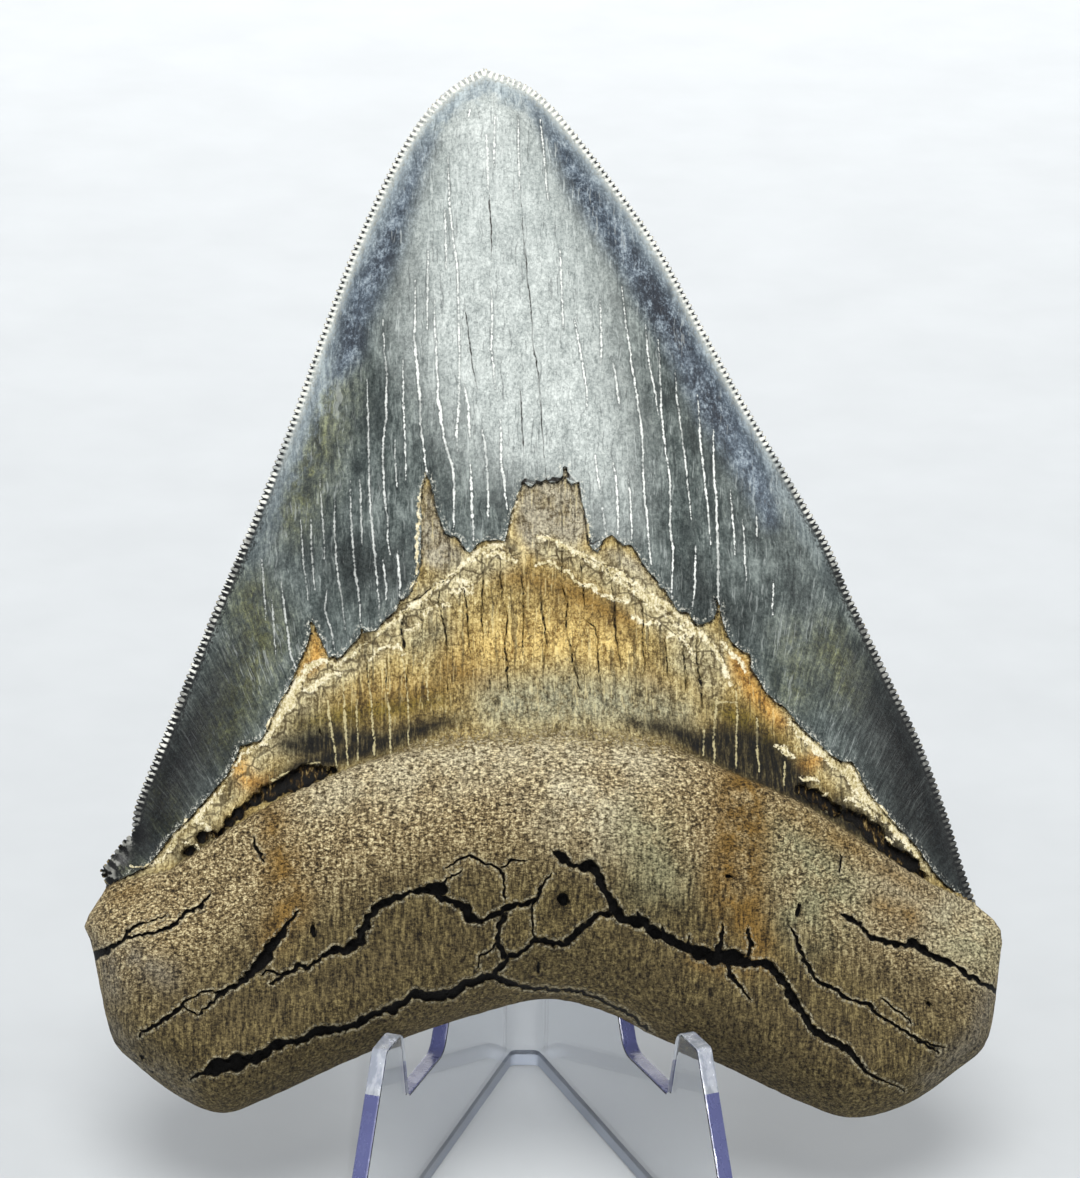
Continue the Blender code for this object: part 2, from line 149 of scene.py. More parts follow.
# ---------------------------------------------------------------------------------------------
# Strokes on the viewer's face.
ENAMEL_BREAK = [
    (107, 886), (130, 875), (150, 865), (155, 858), (170, 838), (190, 818), (210, 795),
    (228, 775), (238, 755), (240, 746), (250, 744), (262, 740), (268, 728), (277, 707),
    (288, 690), (298, 668), (300, 660), (303, 656), (306, 648), (309, 640), (311, 630),
    (310, 622), (314, 624), (318, 634), (322, 643), (325, 650), (329, 658), (334, 656),
    (338, 659), (343, 655), (347, 650), (352, 645), (357, 640), (361, 634), (361, 628),
    (366, 632), (372, 632), (377, 630), (381, 624), (386, 619), (391, 615), (396, 611),
    (400, 600), (404, 599), (408, 596), (411, 592), (413, 587), (416, 580), (419, 575),
    (421, 560), (421, 540), (422, 520), (421, 505), (421, 490), (424, 480), (427, 476),
    (430, 483), (433, 495), (436, 510), (440, 520), (443, 528), (445, 534), (450, 536),
    (456, 537), (460, 541), (463, 547), (467, 552), (471, 553), (474, 549), (478, 544),
    (484, 541), (490, 541), (496, 540), (505, 542), (508, 530), (511, 515), (516, 500),
    (520, 490), (523, 482), (527, 486), (531, 487), (536, 483), (541, 484), (545, 480),
    (549, 483), (556, 482), (561, 480), (563, 477), (563, 467), (567, 467), (567, 480),
    (571, 485), (576, 483), (579, 482), (580, 490), (581, 500), (584, 511), (585, 515),
    (587, 530), (589, 545), (592, 549), (598, 553), (600, 547), (603, 540), (612, 535),
    (618, 541), (624, 546), (630, 545), (637, 553), (643, 565), (648, 572), (655, 578),
    (660, 588), (665, 590), (668, 596), (672, 602), (676, 610), (682, 613), (687, 612),
    (690, 616), (694, 622), (698, 626), (704, 624), (710, 622), (714, 618), (717, 610),
    (716, 600), (719, 605), (722, 620), (725, 630), (729, 640), (734, 645), (739, 650),
    (744, 652), (750, 655), (751, 660), (750, 668), (757, 678), (765, 692), (775, 702),
    (785, 708), (790, 715), (800, 727), (815, 741), (830, 755), (842, 762), (852, 762),
    (855, 768), (860, 778), (870, 795), (880, 808), (900, 830), (915, 845), (925, 860),
    (933, 872), (945, 885), (957, 893),
]

ROOT_CRACKS = [
    [(94, 958, 9), (104, 950, 7), (115, 944, 4), (125, 936, 3), (135, 928, 2.5),
     (150, 921, 1.5), (166, 916, 1)],
    [(127, 938, 2.5), (145, 934, 2.5), (160, 931, 2.5), (175, 925, 3), (185, 915, 3),
     (191, 911, 4), (200, 906, 3), (210, 894, 1)],
    [(140, 1037, 1.5), (142, 1032, 3), (150, 1030, 2.5), (165, 1019, 3), (178, 1010, 3),
     (184, 1004, 2.5), (190, 997, 1.5), (202, 991, 1.5), (218, 991, 2)],
    [(183, 1007, 1.5), (190, 1012, 1.5), (201, 1014, 2), (208, 1007, 2), (215, 1000, 3),
     (222, 994, 4), (232, 987, 5), (246, 979, 5), (256, 970, 6), (263, 961, 11),
     (272, 948, 8), (279, 932, 5), (289, 921, 3), (298, 911, 1)],
    [(263, 975, 1.5), (266, 970, 2), (274, 971, 2), (281, 976, 3), (277, 982, 3),
     (270, 983, 1.5)],
    [(281, 976, 3), (290, 972, 3), (300, 965, 3.5), (308, 968, 2.5), (318, 960, 3),
     (327, 954, 4), (334, 948, 6), (343, 951, 6), (352, 946, 8), (359, 938, 7),
     (362, 930, 6), (372, 915, 5), (378, 905, 5), (386, 901, 6), (395, 900, 5),
     (404, 895, 3.5), (412, 892, 3), (420, 891, 5), (430, 890, 11), (441, 886, 9)],
    [(438, 895, 5), (450, 901, 4), (460, 903, 5), (466, 909, 9), (472, 915, 9),
     (480, 919, 4), (492, 917, 4), (503, 914, 5), (507, 906, 7), (516, 903, 4),
     (527, 902, 4), (536, 899, 4), (541, 894, 3), (542, 886, 2), (552, 874, 1)],
    [(443, 885, 2), (449, 878, 1.5), (462, 872, 1)],
    [(446, 868, 1), (455, 861, 1.5), (470, 856, 2), (481, 862, 2), (495, 865, 1.5),
     (502, 872, 2), (504, 885, 1.5), (505, 898, 2)],
    [(503, 868, 2), (512, 861, 1.5), (525, 860, 1)],
    [(503, 917, 5), (499, 926, 4), (498, 935, 3.5), (501, 944, 5), (505, 955, 5)],
    [(498, 942, 2), (490, 950, 1.5), (480, 957, 1.5), (477, 967, 1)],
    [(532, 905, 1), (533, 920, 1.5), (533, 936, 1)],
    [(190, 1079, 1), (200, 1073, 3), (208, 1070, 6), (216, 1067, 12), (228, 1066, 13),
     (238, 1063, 12), (248, 1059, 8), (258, 1056, 8), (268, 1050, 9), (278, 1045, 8),
     (290, 1043, 5), (303, 1041, 5), (312, 1034, 7), (322, 1031, 7), (335, 1029, 5),
     (345, 1028, 4), (358, 1026, 6), (368, 1018, 6), (380, 1013, 5), (392, 1007, 6),
     (400, 1002, 6), (410, 998, 5), (420, 997, 7), (432, 996, 9), (445, 996, 7),
     (455, 991, 7), (465, 985, 6), (475, 980, 6), (488, 976, 6), (494, 974, 5),
     (500, 979, 5), (508, 984, 5), (520, 986, 4), (535, 988, 3), (550, 989, 2.5),
     (570, 991, 3), (585, 994, 2.5), (603, 999, 2), (612, 1006, 2.5), (622, 1012, 2.5),
     (632, 1018, 2), (645, 1027, 2), (652, 1033, 1)],
    [(608, 910, 6), (592, 921, 4), (580, 929, 6), (570, 938, 5), (565, 944, 5),
     (555, 944, 4), (548, 940, 5), (540, 939, 4), (532, 942, 4), (527, 949, 3),
     (518, 954, 4), (508, 958, 3), (500, 966, 5), (494, 974, 5)],
    [(553, 852, 2), (558, 854, 5), (563, 859, 8), (570, 866, 4), (579, 868, 3),
     (587, 866, 9), (597, 868, 9), (600, 876, 7), (602, 885, 7), (606, 893, 6),
     (611, 900, 7), (613, 909, 9), (622, 919, 7), (632, 921, 8), (640, 923, 10),
     (650, 930, 7), (660, 935, 8), (670, 940, 8), (682, 946, 7), (695, 952, 8),
     (705, 955, 9), (715, 957, 12), (725, 957, 16), (735, 959, 13), (745, 962, 9),
     (755, 962, 6), (765, 963, 7), (774, 970, 6), (783, 980, 6), (790, 990, 6),
     (797, 1000, 7), (802, 1012, 5), (808, 1025, 5), (820, 1033, 6), (835, 1043, 6),
     (845, 1048, 6), (853, 1054, 5), (860, 1062, 4), (866, 1072, 3), (882, 1081, 1.5),
     (905, 1091, 1)],
    [(722, 925, 2), (724, 932, 3), (720, 941, 3), (718, 950, 6)],
    [(747, 930, 2), (750, 940, 3), (751, 955, 4)],
    [(727, 968, 4), (732, 979, 3), (742, 989, 2), (750, 1000, 1)],
    [(791, 928, 1), (797, 940, 2.5), (802, 955, 3), (808, 968, 3), (815, 976, 3),
     (825, 983, 3), (835, 991, 3), (845, 998, 3), (857, 1002, 2.5), (868, 1004, 3),
     (875, 1013, 3), (885, 1020, 2), (895, 1026, 2), (915, 1038, 2.5), (932, 1050, 2),
     (939, 1053, 1)],
    [(915, 1038, 1.5), (930, 1044, 1.5), (945, 1047, 1)],
    [(842, 914, 2), (850, 919, 5), (857, 923, 4), (864, 929, 3), (870, 935, 3),
     (880, 941, 5), (892, 944, 5), (905, 947, 6), (915, 944, 7), (922, 949, 6),
     (935, 955, 5), (945, 960, 5), (955, 965, 5), (970, 976, 5), (985, 985, 4),
     (997, 992, 5)],
    [(882, 998, 1), (897, 1010, 1.5), (912, 1022, 1)],
    [(840, 855, 1), (841, 863, 2), (840, 872, 1)],
    [(253, 838, 1), (256, 847, 3), (260, 856, 3), (263, 862, 1)],
    [(661, 927, 2), (662, 934, 4)],
    [(637, 912, 1.5), (638, 920, 4)],
    [(688, 936, 1), (687, 946, 3)],
]
ROOT_PITS = [
    [(562, 896, 8), (564, 901, 10)],
    [(313, 926, 3), (314, 936, 4)],
    [(727, 876, 4), (733, 877, 5)],
    [(799, 905, 3), (797, 915, 4)],
    [(928, 1003, 3), (930, 1005, 3)],
    [(538, 963, 1.5), (538, 972, 2)],
    [(141, 1056, 3), (143, 1057, 4)],
    [(152, 1072, 3), (153, 1073, 3)],
]
UNDERCUTS = [
    [(184, 853, 6), (190, 850, 9), (195, 846, 6)],
    [(199, 842, 5), (205, 836, 10), (213, 833, 8), (216, 837, 3)],
    [(216, 838, 3), (222, 831, 4), (228, 823, 8), (236, 816, 9), (244, 808, 9), (249, 804, 4)],
    [(250, 806, 3), (257, 800, 9), (266, 794, 12), (276, 789, 14), (288, 784, 14),
     (300, 778, 16), (312, 773, 15), (320, 772, 12), (326, 773, 7), (335, 770, 4),
     (346, 767, 2)],
    [(797, 789, 6), (806, 792, 11), (815, 797, 11), (824, 803, 9), (833, 810, 9),
     (841, 814, 6)],
    [(846, 814, 7), (853, 816, 14), (860, 822, 13), (868, 829, 13), (876, 836, 14),
     (883, 843, 11), (888, 849, 5)],
    [(889, 852, 5), (896, 855, 11), (905, 861, 12), (914, 867, 11), (921, 873, 8),
     (926, 877, 3)],
]
BOURLETTE_CRACKS = [
    [(403, 608, 2), (403, 620, 3), (402, 632, 5), (404, 645, 4), (405, 652, 2)],
    [(439, 590, 1.5), (440, 606, 2.5), (443, 622, 2), (446, 640, 2), (447, 660, 1.5)],
    [(463, 585, 2), (465, 600, 2), (468, 620, 2), (468, 636, 2), (472, 655, 1.5)],
    [(482, 560, 1.5), (483, 575, 1.5), (482, 592, 2), (482, 620, 1.5), (484, 645, 1)],
    [(500, 560, 1), (501, 585, 2), (501, 600, 1)],
    [(506, 604, 2), (507, 625, 2), (506, 650, 1.5), (506, 672, 4), (507, 680, 3),
     (510, 692, 3)],
    [(522, 577, 1.5), (523, 600, 2), (523, 622, 1), (523, 655, 2)],
    [(541, 598, 2), (543, 620, 2.5), (546, 640, 2), (545, 662, 1)],
    [(563, 588, 3), (567, 603, 2), (567, 630, 2), (569, 644, 2), (573, 662, 2),
     (578, 680, 3), (580, 690, 1)],
    [(562, 550, 1.5), (562, 575, 2)],
    [(581, 562, 1.5), (582, 575, 2), (584, 590, 2), (585, 605, 1.5)],
    [(585, 620, 1.5), (595, 627, 2.5), (598, 640, 1.5), (598, 668, 2), (601, 680, 2)],
    [(611, 580, 1.5), (613, 598, 2), (615, 615, 2.5), (616, 635, 2), (619, 655, 3),
     (621, 668, 1.5)],
    [(642, 602, 1.5), (643, 620, 2), (643, 650, 1.5), (645, 662, 1), (643, 675, 2)],
    [(665, 640, 1.5), (667, 655, 2), (667, 675, 1.5)],
    [(683, 645, 2), (685, 668, 2), (686, 690, 1.5)],
    [(697, 635, 1.5), (697, 660, 1.5), (700, 680, 4), (701, 700, 4), (702, 706, 2)],
    [(422, 600, 1), (421, 620, 1.5), (422, 645, 1)],
    [(386, 660, 1.5), (387, 690, 1.5)],
    [(367, 660, 1.5), (369, 690, 1.5)],
    [(407, 668, 1.5), (407, 694, 1.5)],
    [(447, 680, 1.5), (448, 690, 2)],
    [(490, 675, 1), (490, 688, 2)],
    [(320, 728, 3), (321, 735, 3)],
    [(400, 600, 2), (405, 598, 3), (411, 590, 3), (414, 580, 2.5), (417, 572, 2)],
    [(399, 607, 1), (420, 597, 2), (436, 584, 2.5), (446, 580, 2), (457, 573, 2)],
    [(600, 562, 1), (607, 570, 1.5), (610, 580, 1.5)],
    [(583, 556, 1), (596, 562, 1.5), (604, 570, 1.5)],
]
PALE_SEAMS = [
    [(328, 700, 2), (331, 735, 3), (335, 747, 2), (337, 770, 2)],
    [(342, 670, 2), (345, 720, 3), (348, 765, 3)],
    [(367, 655, 2), (371, 700, 2), (375, 755, 3)],
    [(384, 660, 2), (390, 720, 3), (391, 757, 2)],
    [(357, 700, 2), (358, 760, 2)],
    [(403, 660, 2), (408, 700, 1.5), (409, 745, 1.5)],
    [(425, 610, 1.5), (424, 660, 1.5), (428, 700, 1.5)],
    [(717, 698, 2.5), (715, 720, 3), (714, 765, 2.5)],
    [(736, 690, 2.5), (737, 715, 2), (736, 768, 2.5)],
    [(757, 718, 2), (757, 745, 2.5), (759, 772, 2)],
    [(704, 730, 2), (703, 755, 2)],
    [(785, 762, 2), (784, 785, 2)],
    [(445, 596, 1.5), (470, 600, 1)],
    [(702, 686, 2.5), (708, 684, 4), (714, 687, 2.5)],
    [(716, 702, 2), (726, 702, 3), (736, 703, 2)],
    [(302, 766, 4), (310, 764, 3.5), (320, 762, 2.5)],
    [(280, 775, 4), (288, 773, 4)],
    [(272, 780, 5), (279, 780, 3)],
]
CHEVRONS = [
    [(378, 634, 4), (392, 622, 4), (405, 612, 5), (425, 596, 6), (445, 582, 4),
     (455, 574, 4), (463, 566, 3), (472, 558, 4), (480, 552, 4), (495, 545, 5),
     (505, 543, 4)],
    [(537, 535, 3), (555, 541, 4), (575, 551, 4), (590, 558, 3), (604, 566, 4),
     (620, 574, 5), (635, 584, 4), (650, 596, 6), (665, 604, 8), (680, 617, 6),
     (695, 630, 6), (705, 640, 5)],
    [(557, 545, 3), (580, 555, 3), (600, 567, 2.5), (612, 579, 4), (622, 582, 3),
     (635, 591, 3), (648, 602, 4), (660, 610, 4), (672, 620, 3), (690, 634, 4)],
    [(370, 660, 2), (380, 645, 3), (386, 648, 2), (390, 643, 3), (394, 648, 2),
     (397, 643, 3), (404, 654, 3)],
    [(405, 630, 3), (412, 628, 3), (419, 623, 4)],
    [(426, 615, 3), (430, 608, 4), (437, 606, 4)],
    [(443, 604, 3), (449, 606, 3)],
    [(452, 592, 5), (456, 594, 4), (462, 588, 3), (468, 592, 4), (473, 588, 4)],
    [(455, 581, 2.5), (462, 581, 4), (472, 583, 3)],
    [(536, 566, 4), (540, 563, 3), (545, 563, 3), (551, 561, 4), (556, 566, 2.5),
     (562, 571, 3), (570, 573, 3), (574, 580, 3), (579, 584, 3), (586, 587, 4),
     (592, 585, 3), (596, 592, 3), (606, 596, 3), (614, 600, 3), (626, 600, 4)],
    [(633, 616, 3), (640, 620, 4), (646, 623, 4), (653, 621, 4), (660, 624, 3)],
    [(666, 637, 3), (672, 634, 4), (680, 634, 3), (686, 643, 3), (690, 648, 3),
     (694, 656, 2.5)],
    [(484, 556, 4), (492, 553, 5), (500, 552, 4), (508, 556, 5), (514, 562, 4)],
    [(705, 640, 4), (718, 652, 5), (725, 668, 4), (732, 684, 4)],
    [(722, 640, 3), (735, 658, 4), (744, 672, 4)],
]
EDGE_CRUST = [
    [(130, 868, 3), (150, 866, 5), (160, 858, 6), (172, 845, 6), (182, 830, 7),
     (196, 820, 7), (207, 806, 5), (222, 788, 4)],
    [(204, 824, 6), (210, 829, 5), (217, 838, 3)],
    [(184, 842, 3), (192, 843, 3), (199, 850, 3)],
    [(226, 782, 4), (234, 768, 5), (241, 755, 5), (252, 748, 4), (263, 742, 5),
     (270, 728, 9), (282, 712, 12), (292, 696, 11), (300, 680, 9), (310, 668, 7),
     (322, 662, 5), (338, 665, 4), (352, 655, 4), (368, 640, 3)],
    [(306, 690, 10), (318, 684, 7), (330, 676, 5), (342, 670, 5)],
    [(790, 720, 5), (800, 733, 8), (815, 748, 9), (830, 760, 8), (845, 772, 9),
     (855, 785, 11), (866, 798, 10), (880, 812, 9), (895, 830, 8), (908, 845, 10),
     (919, 858, 11), (925, 864, 6)],
    [(848, 766, 8), (858, 780, 8)],
    [(776, 746, 5), (786, 750, 6), (794, 757, 7)],
    [(800, 780, 4), (808, 782, 5), (818, 781, 4)],
    [(822, 797, 4), (828, 794, 4)],
    [(845, 800, 5), (851, 798, 6), (860, 806, 5), (868, 812, 6), (874, 818, 4)],
    [(884, 846, 7), (892, 842, 7), (886, 838, 5)],
    [(826, 811, 3), (840, 815, 3)],
    [(417, 578, 2), (419, 560, 3.5), (418, 540, 4), (419, 520, 4), (418, 500, 3.5),
     (422, 484, 3), (427, 474, 2)],
    [(410, 592, 3), (416, 580, 3)],
    [(509, 530, 2), (514, 508, 2), (520, 492, 2)],
    [(586, 520, 1.5), (588, 540, 2)],
]
WHITE_VEINS = [
    [(448, 158, 1), (449, 200, 1), (453, 240, 1), (457, 265, 1), (458, 285, 1),
     (459, 340, 1), (459, 395, 1), (457, 420, 1), (456, 432, 1.5), (457, 452, 1)],
    [(486, 135, 1.5), (488, 165, 2), (488, 190, 1.5)],
    [(495, 115, 1), (494, 140, 1), (494, 170, 1)],
    [(518, 115, 1), (519, 180, 1.2), (519, 190, 1.5)],
    [(415, 280, 1), (415, 310, 1.5), (414, 340, 1.5), (417, 360, 2), (418, 380, 2.5),
     (420, 400, 2.5), (420, 420, 2), (422, 440, 2.5), (425, 460, 2.5), (427, 475, 2)],
    [(383, 320, 1), (384, 350, 1.5), (387, 375, 1.5), (386, 400, 1.5), (386, 420, 1.5),
     (383, 440, 1.5), (383, 470, 1.5), (384, 490, 1.5), (386, 505, 2), (388, 520, 2),
     (387, 535, 1.5), (390, 555, 1.5)],
    [(367, 380, 1), (368, 420, 1.5), (369, 450, 1.3), (369, 480, 1.5), (370, 500, 1.5),
     (371, 520, 2), (373, 540, 2.2), (375, 560, 2), (377, 580, 1.5), (379, 600, 1.5),
     (379, 615, 1)],
    [(434, 300, 1), (435, 335, 1.5), (436, 345, 1.5), (437, 370, 1.5), (438, 390, 2.5),
     (438, 400, 3.5), (440, 415, 3.5), (442, 427, 2), (444, 440, 2), (449, 455, 2),
     (453, 470, 2.2), (454, 490, 2.5), (454, 510, 2.5), (453, 530, 3)],
    [(464, 385, 1.2), (468, 405, 1.5), (469, 425, 2.2), (470, 440, 1.5)],
    [(471, 465, 1.5), (471, 500, 1.8), (473, 520, 2.2), (474, 540, 2)],
    [(482, 430, 1.8), (484, 440, 2), (486, 460, 1.5), (487, 475, 1.5), (488, 500, 1.8),
     (488, 518, 2)],
    [(500, 420, 1.2), (501, 440, 1.5), (501, 465, 1.8), (504, 480, 2), (505, 495, 2),
     (507, 510, 1.8)],
    [(491, 290, 1), (492, 310, 1), (491, 345, 1), (493, 365, 1), (495, 390, 1)],
    [(403, 360, 1), (403, 400, 1), (405, 440, 1), (406, 480, 1)],
    [(395, 440, 1), (396, 480, 1), (397, 490, 1)],
    [(458, 380, 1), (459, 410, 1), (457, 430, 1), (457, 450, 1)],
    [(335, 500, 1), (334, 530, 1.3), (336, 560, 1.2), (340, 590, 1.3), (343, 610, 1.2),
     (345, 630, 1.2)],
    [(350, 480, 1), (351, 520, 1.3), (353, 550, 1.3), (355, 575, 1.3), (358, 590, 1.3),
     (360, 610, 1.3), (361, 625, 1)],
    [(320, 480, 1), (322, 515, 1), (324, 540, 1), (324, 560, 1)],
    [(327, 590, 1), (325, 610, 1), (331, 630, 1), (334, 650, 1)],
    [(281, 580, 1), (284, 605, 1.5), (287, 630, 1.5), (290, 650, 2), (292, 660, 2),
     (296, 668, 2.5)],
    [(301, 520, 1), (303, 560, 1), (306, 580, 1), (308, 600, 1)],
    [(311, 520, 1), (312, 560, 1), (315, 590, 1)],
    [(360, 480, 1), (361, 520, 1), (362, 545, 1)],
    [(383, 560, 1.3), (386, 585, 1.6), (386, 600, 2)],
    [(397, 550, 2), (399, 570, 2), (400, 590, 1.6), (398, 600, 2)],
    [(574, 320, 1), (577, 335, 1.2), (580, 350, 1.2), (583, 370, 1.2), (586, 385, 1.2),
     (587, 410, 1)],
    [(600, 300, 1), (601, 330, 1), (601, 365, 1)],
    [(612, 360, 1), (615, 375, 1.3), (617, 395, 1.3), (620, 410, 1)],
    [(621, 285, 1.2), (624, 310, 1.5), (627, 335, 1.8), (630, 350, 1.8), (632, 370, 1.8),
     (636, 390, 1.8), (638, 410, 1.8), (641, 425, 1.8), (643, 450, 1.8), (643, 480, 1.5),
     (645, 500, 1.5), (647, 520, 2), (649, 545, 2.2), (651, 565, 2)],
    [(645, 325, 1), (647, 350, 1.2), (651, 375, 1.2), (655, 395, 1.2), (658, 415, 1)],
    [(658, 340, 1), (660, 380, 1.3), (661, 410, 1.3), (664, 440, 1.3), (666, 455, 1.3),
     (670, 480, 1.5), (670, 500, 1.6), (670, 530, 1.8), (673, 550, 2), (672, 575, 2),
     (671, 600, 1.5)],
    [(675, 370, 1), (676, 395, 1), (679, 415, 1), (682, 440, 1.2), (684, 455, 1.2),
     (687, 480, 1.2), (689, 500, 1.2), (691, 520, 1)],
    [(697, 395, 1.2), (699, 420, 1.5), (700, 440, 1.5), (702, 460, 1.5), (705, 485, 1.5),
     (707, 505, 1.5), (709, 525, 1.5), (710, 545, 1.2)],
    [(713, 430, 2), (713, 455, 2), (714, 475, 2), (716, 495, 2), (717, 530, 2.5),
     (718, 560, 2.5), (718, 585, 2.5), (718, 600, 2.5), (720, 612, 3), (724, 625, 3)],
    [(595, 455, 1.2), (597, 475, 1.5), (600, 490, 1.5)],
    [(602, 505, 1.5), (604, 520, 2), (605, 535, 2)],
    [(613, 463, 1.2), (616, 480, 1.5), (617, 500, 1.5), (618, 520, 1.8), (617, 535, 2)],
    [(628, 480, 1), (630, 500, 1.2), (631, 520, 1.2), (632, 540, 1.6)],
    [(695, 545, 1.2), (695, 570, 1.6), (694, 595, 1.8), (692, 610, 1.8)],
    [(730, 490, 1), (732, 515, 1), (734, 540, 1), (735, 555, 1)],
    [(742, 520, 1), (744, 545, 1), (746, 580, 1)],
    [(756, 515, 1), (757, 540, 1)],
    [(773, 580, 1), (772, 615, 1)],
    [(262, 560, 1), (266, 620, 1)], [(272, 600, 1), (276, 660, 1)],
    [(540, 120, 1), (548, 200, 1)], [(560, 250, 1), (563, 330, 1)],
    [(470, 110, 1.3), (468, 118, 1.6)], [(428, 250, 1), (427, 330, 1)],
    [(445, 210, 1), (446, 270, 1)],
]
DARK_VEINS_AND_EDGE_SHADE = [
    [(520, 190, 1.2), (522, 215, 1.5), (524, 240, 1.5), (526, 262, 1.5), (527, 280, 1.5),
     (530, 300, 1.4), (532, 320, 1.5), (532, 340, 1.4), (536, 360, 1.5), (539, 380, 1.5),
     (540, 400, 1.5), (541, 420, 1.5), (543, 440, 1.5), (545, 470, 1.5), (546, 478, 1.5)],
    [(519, 375, 1), (521, 400, 1.2), (522, 430, 1.2), (524, 460, 1)],
    [(464, 300, 1), (467, 322, 1.2), (470, 345, 1.2), (472, 365, 1.2), (476, 383, 1.2),
     (478, 395, 1)],
    [(489, 190, 1.3), (491, 225, 1.2), (492, 262, 1)],
    # The last two are not veins: painted shadow under the enamel's broken edge at the notch.
    [(519, 487, 3), (525, 481, 5), (533, 483, 5), (543, 483, 5), (552, 479, 5), (560, 480, 5),
     (566, 473, 5), (571, 479, 5), (579, 483, 3)],
    [(584, 508, 2.5), (586, 530, 2.5), (591, 545, 3), (600, 540, 3)],
]
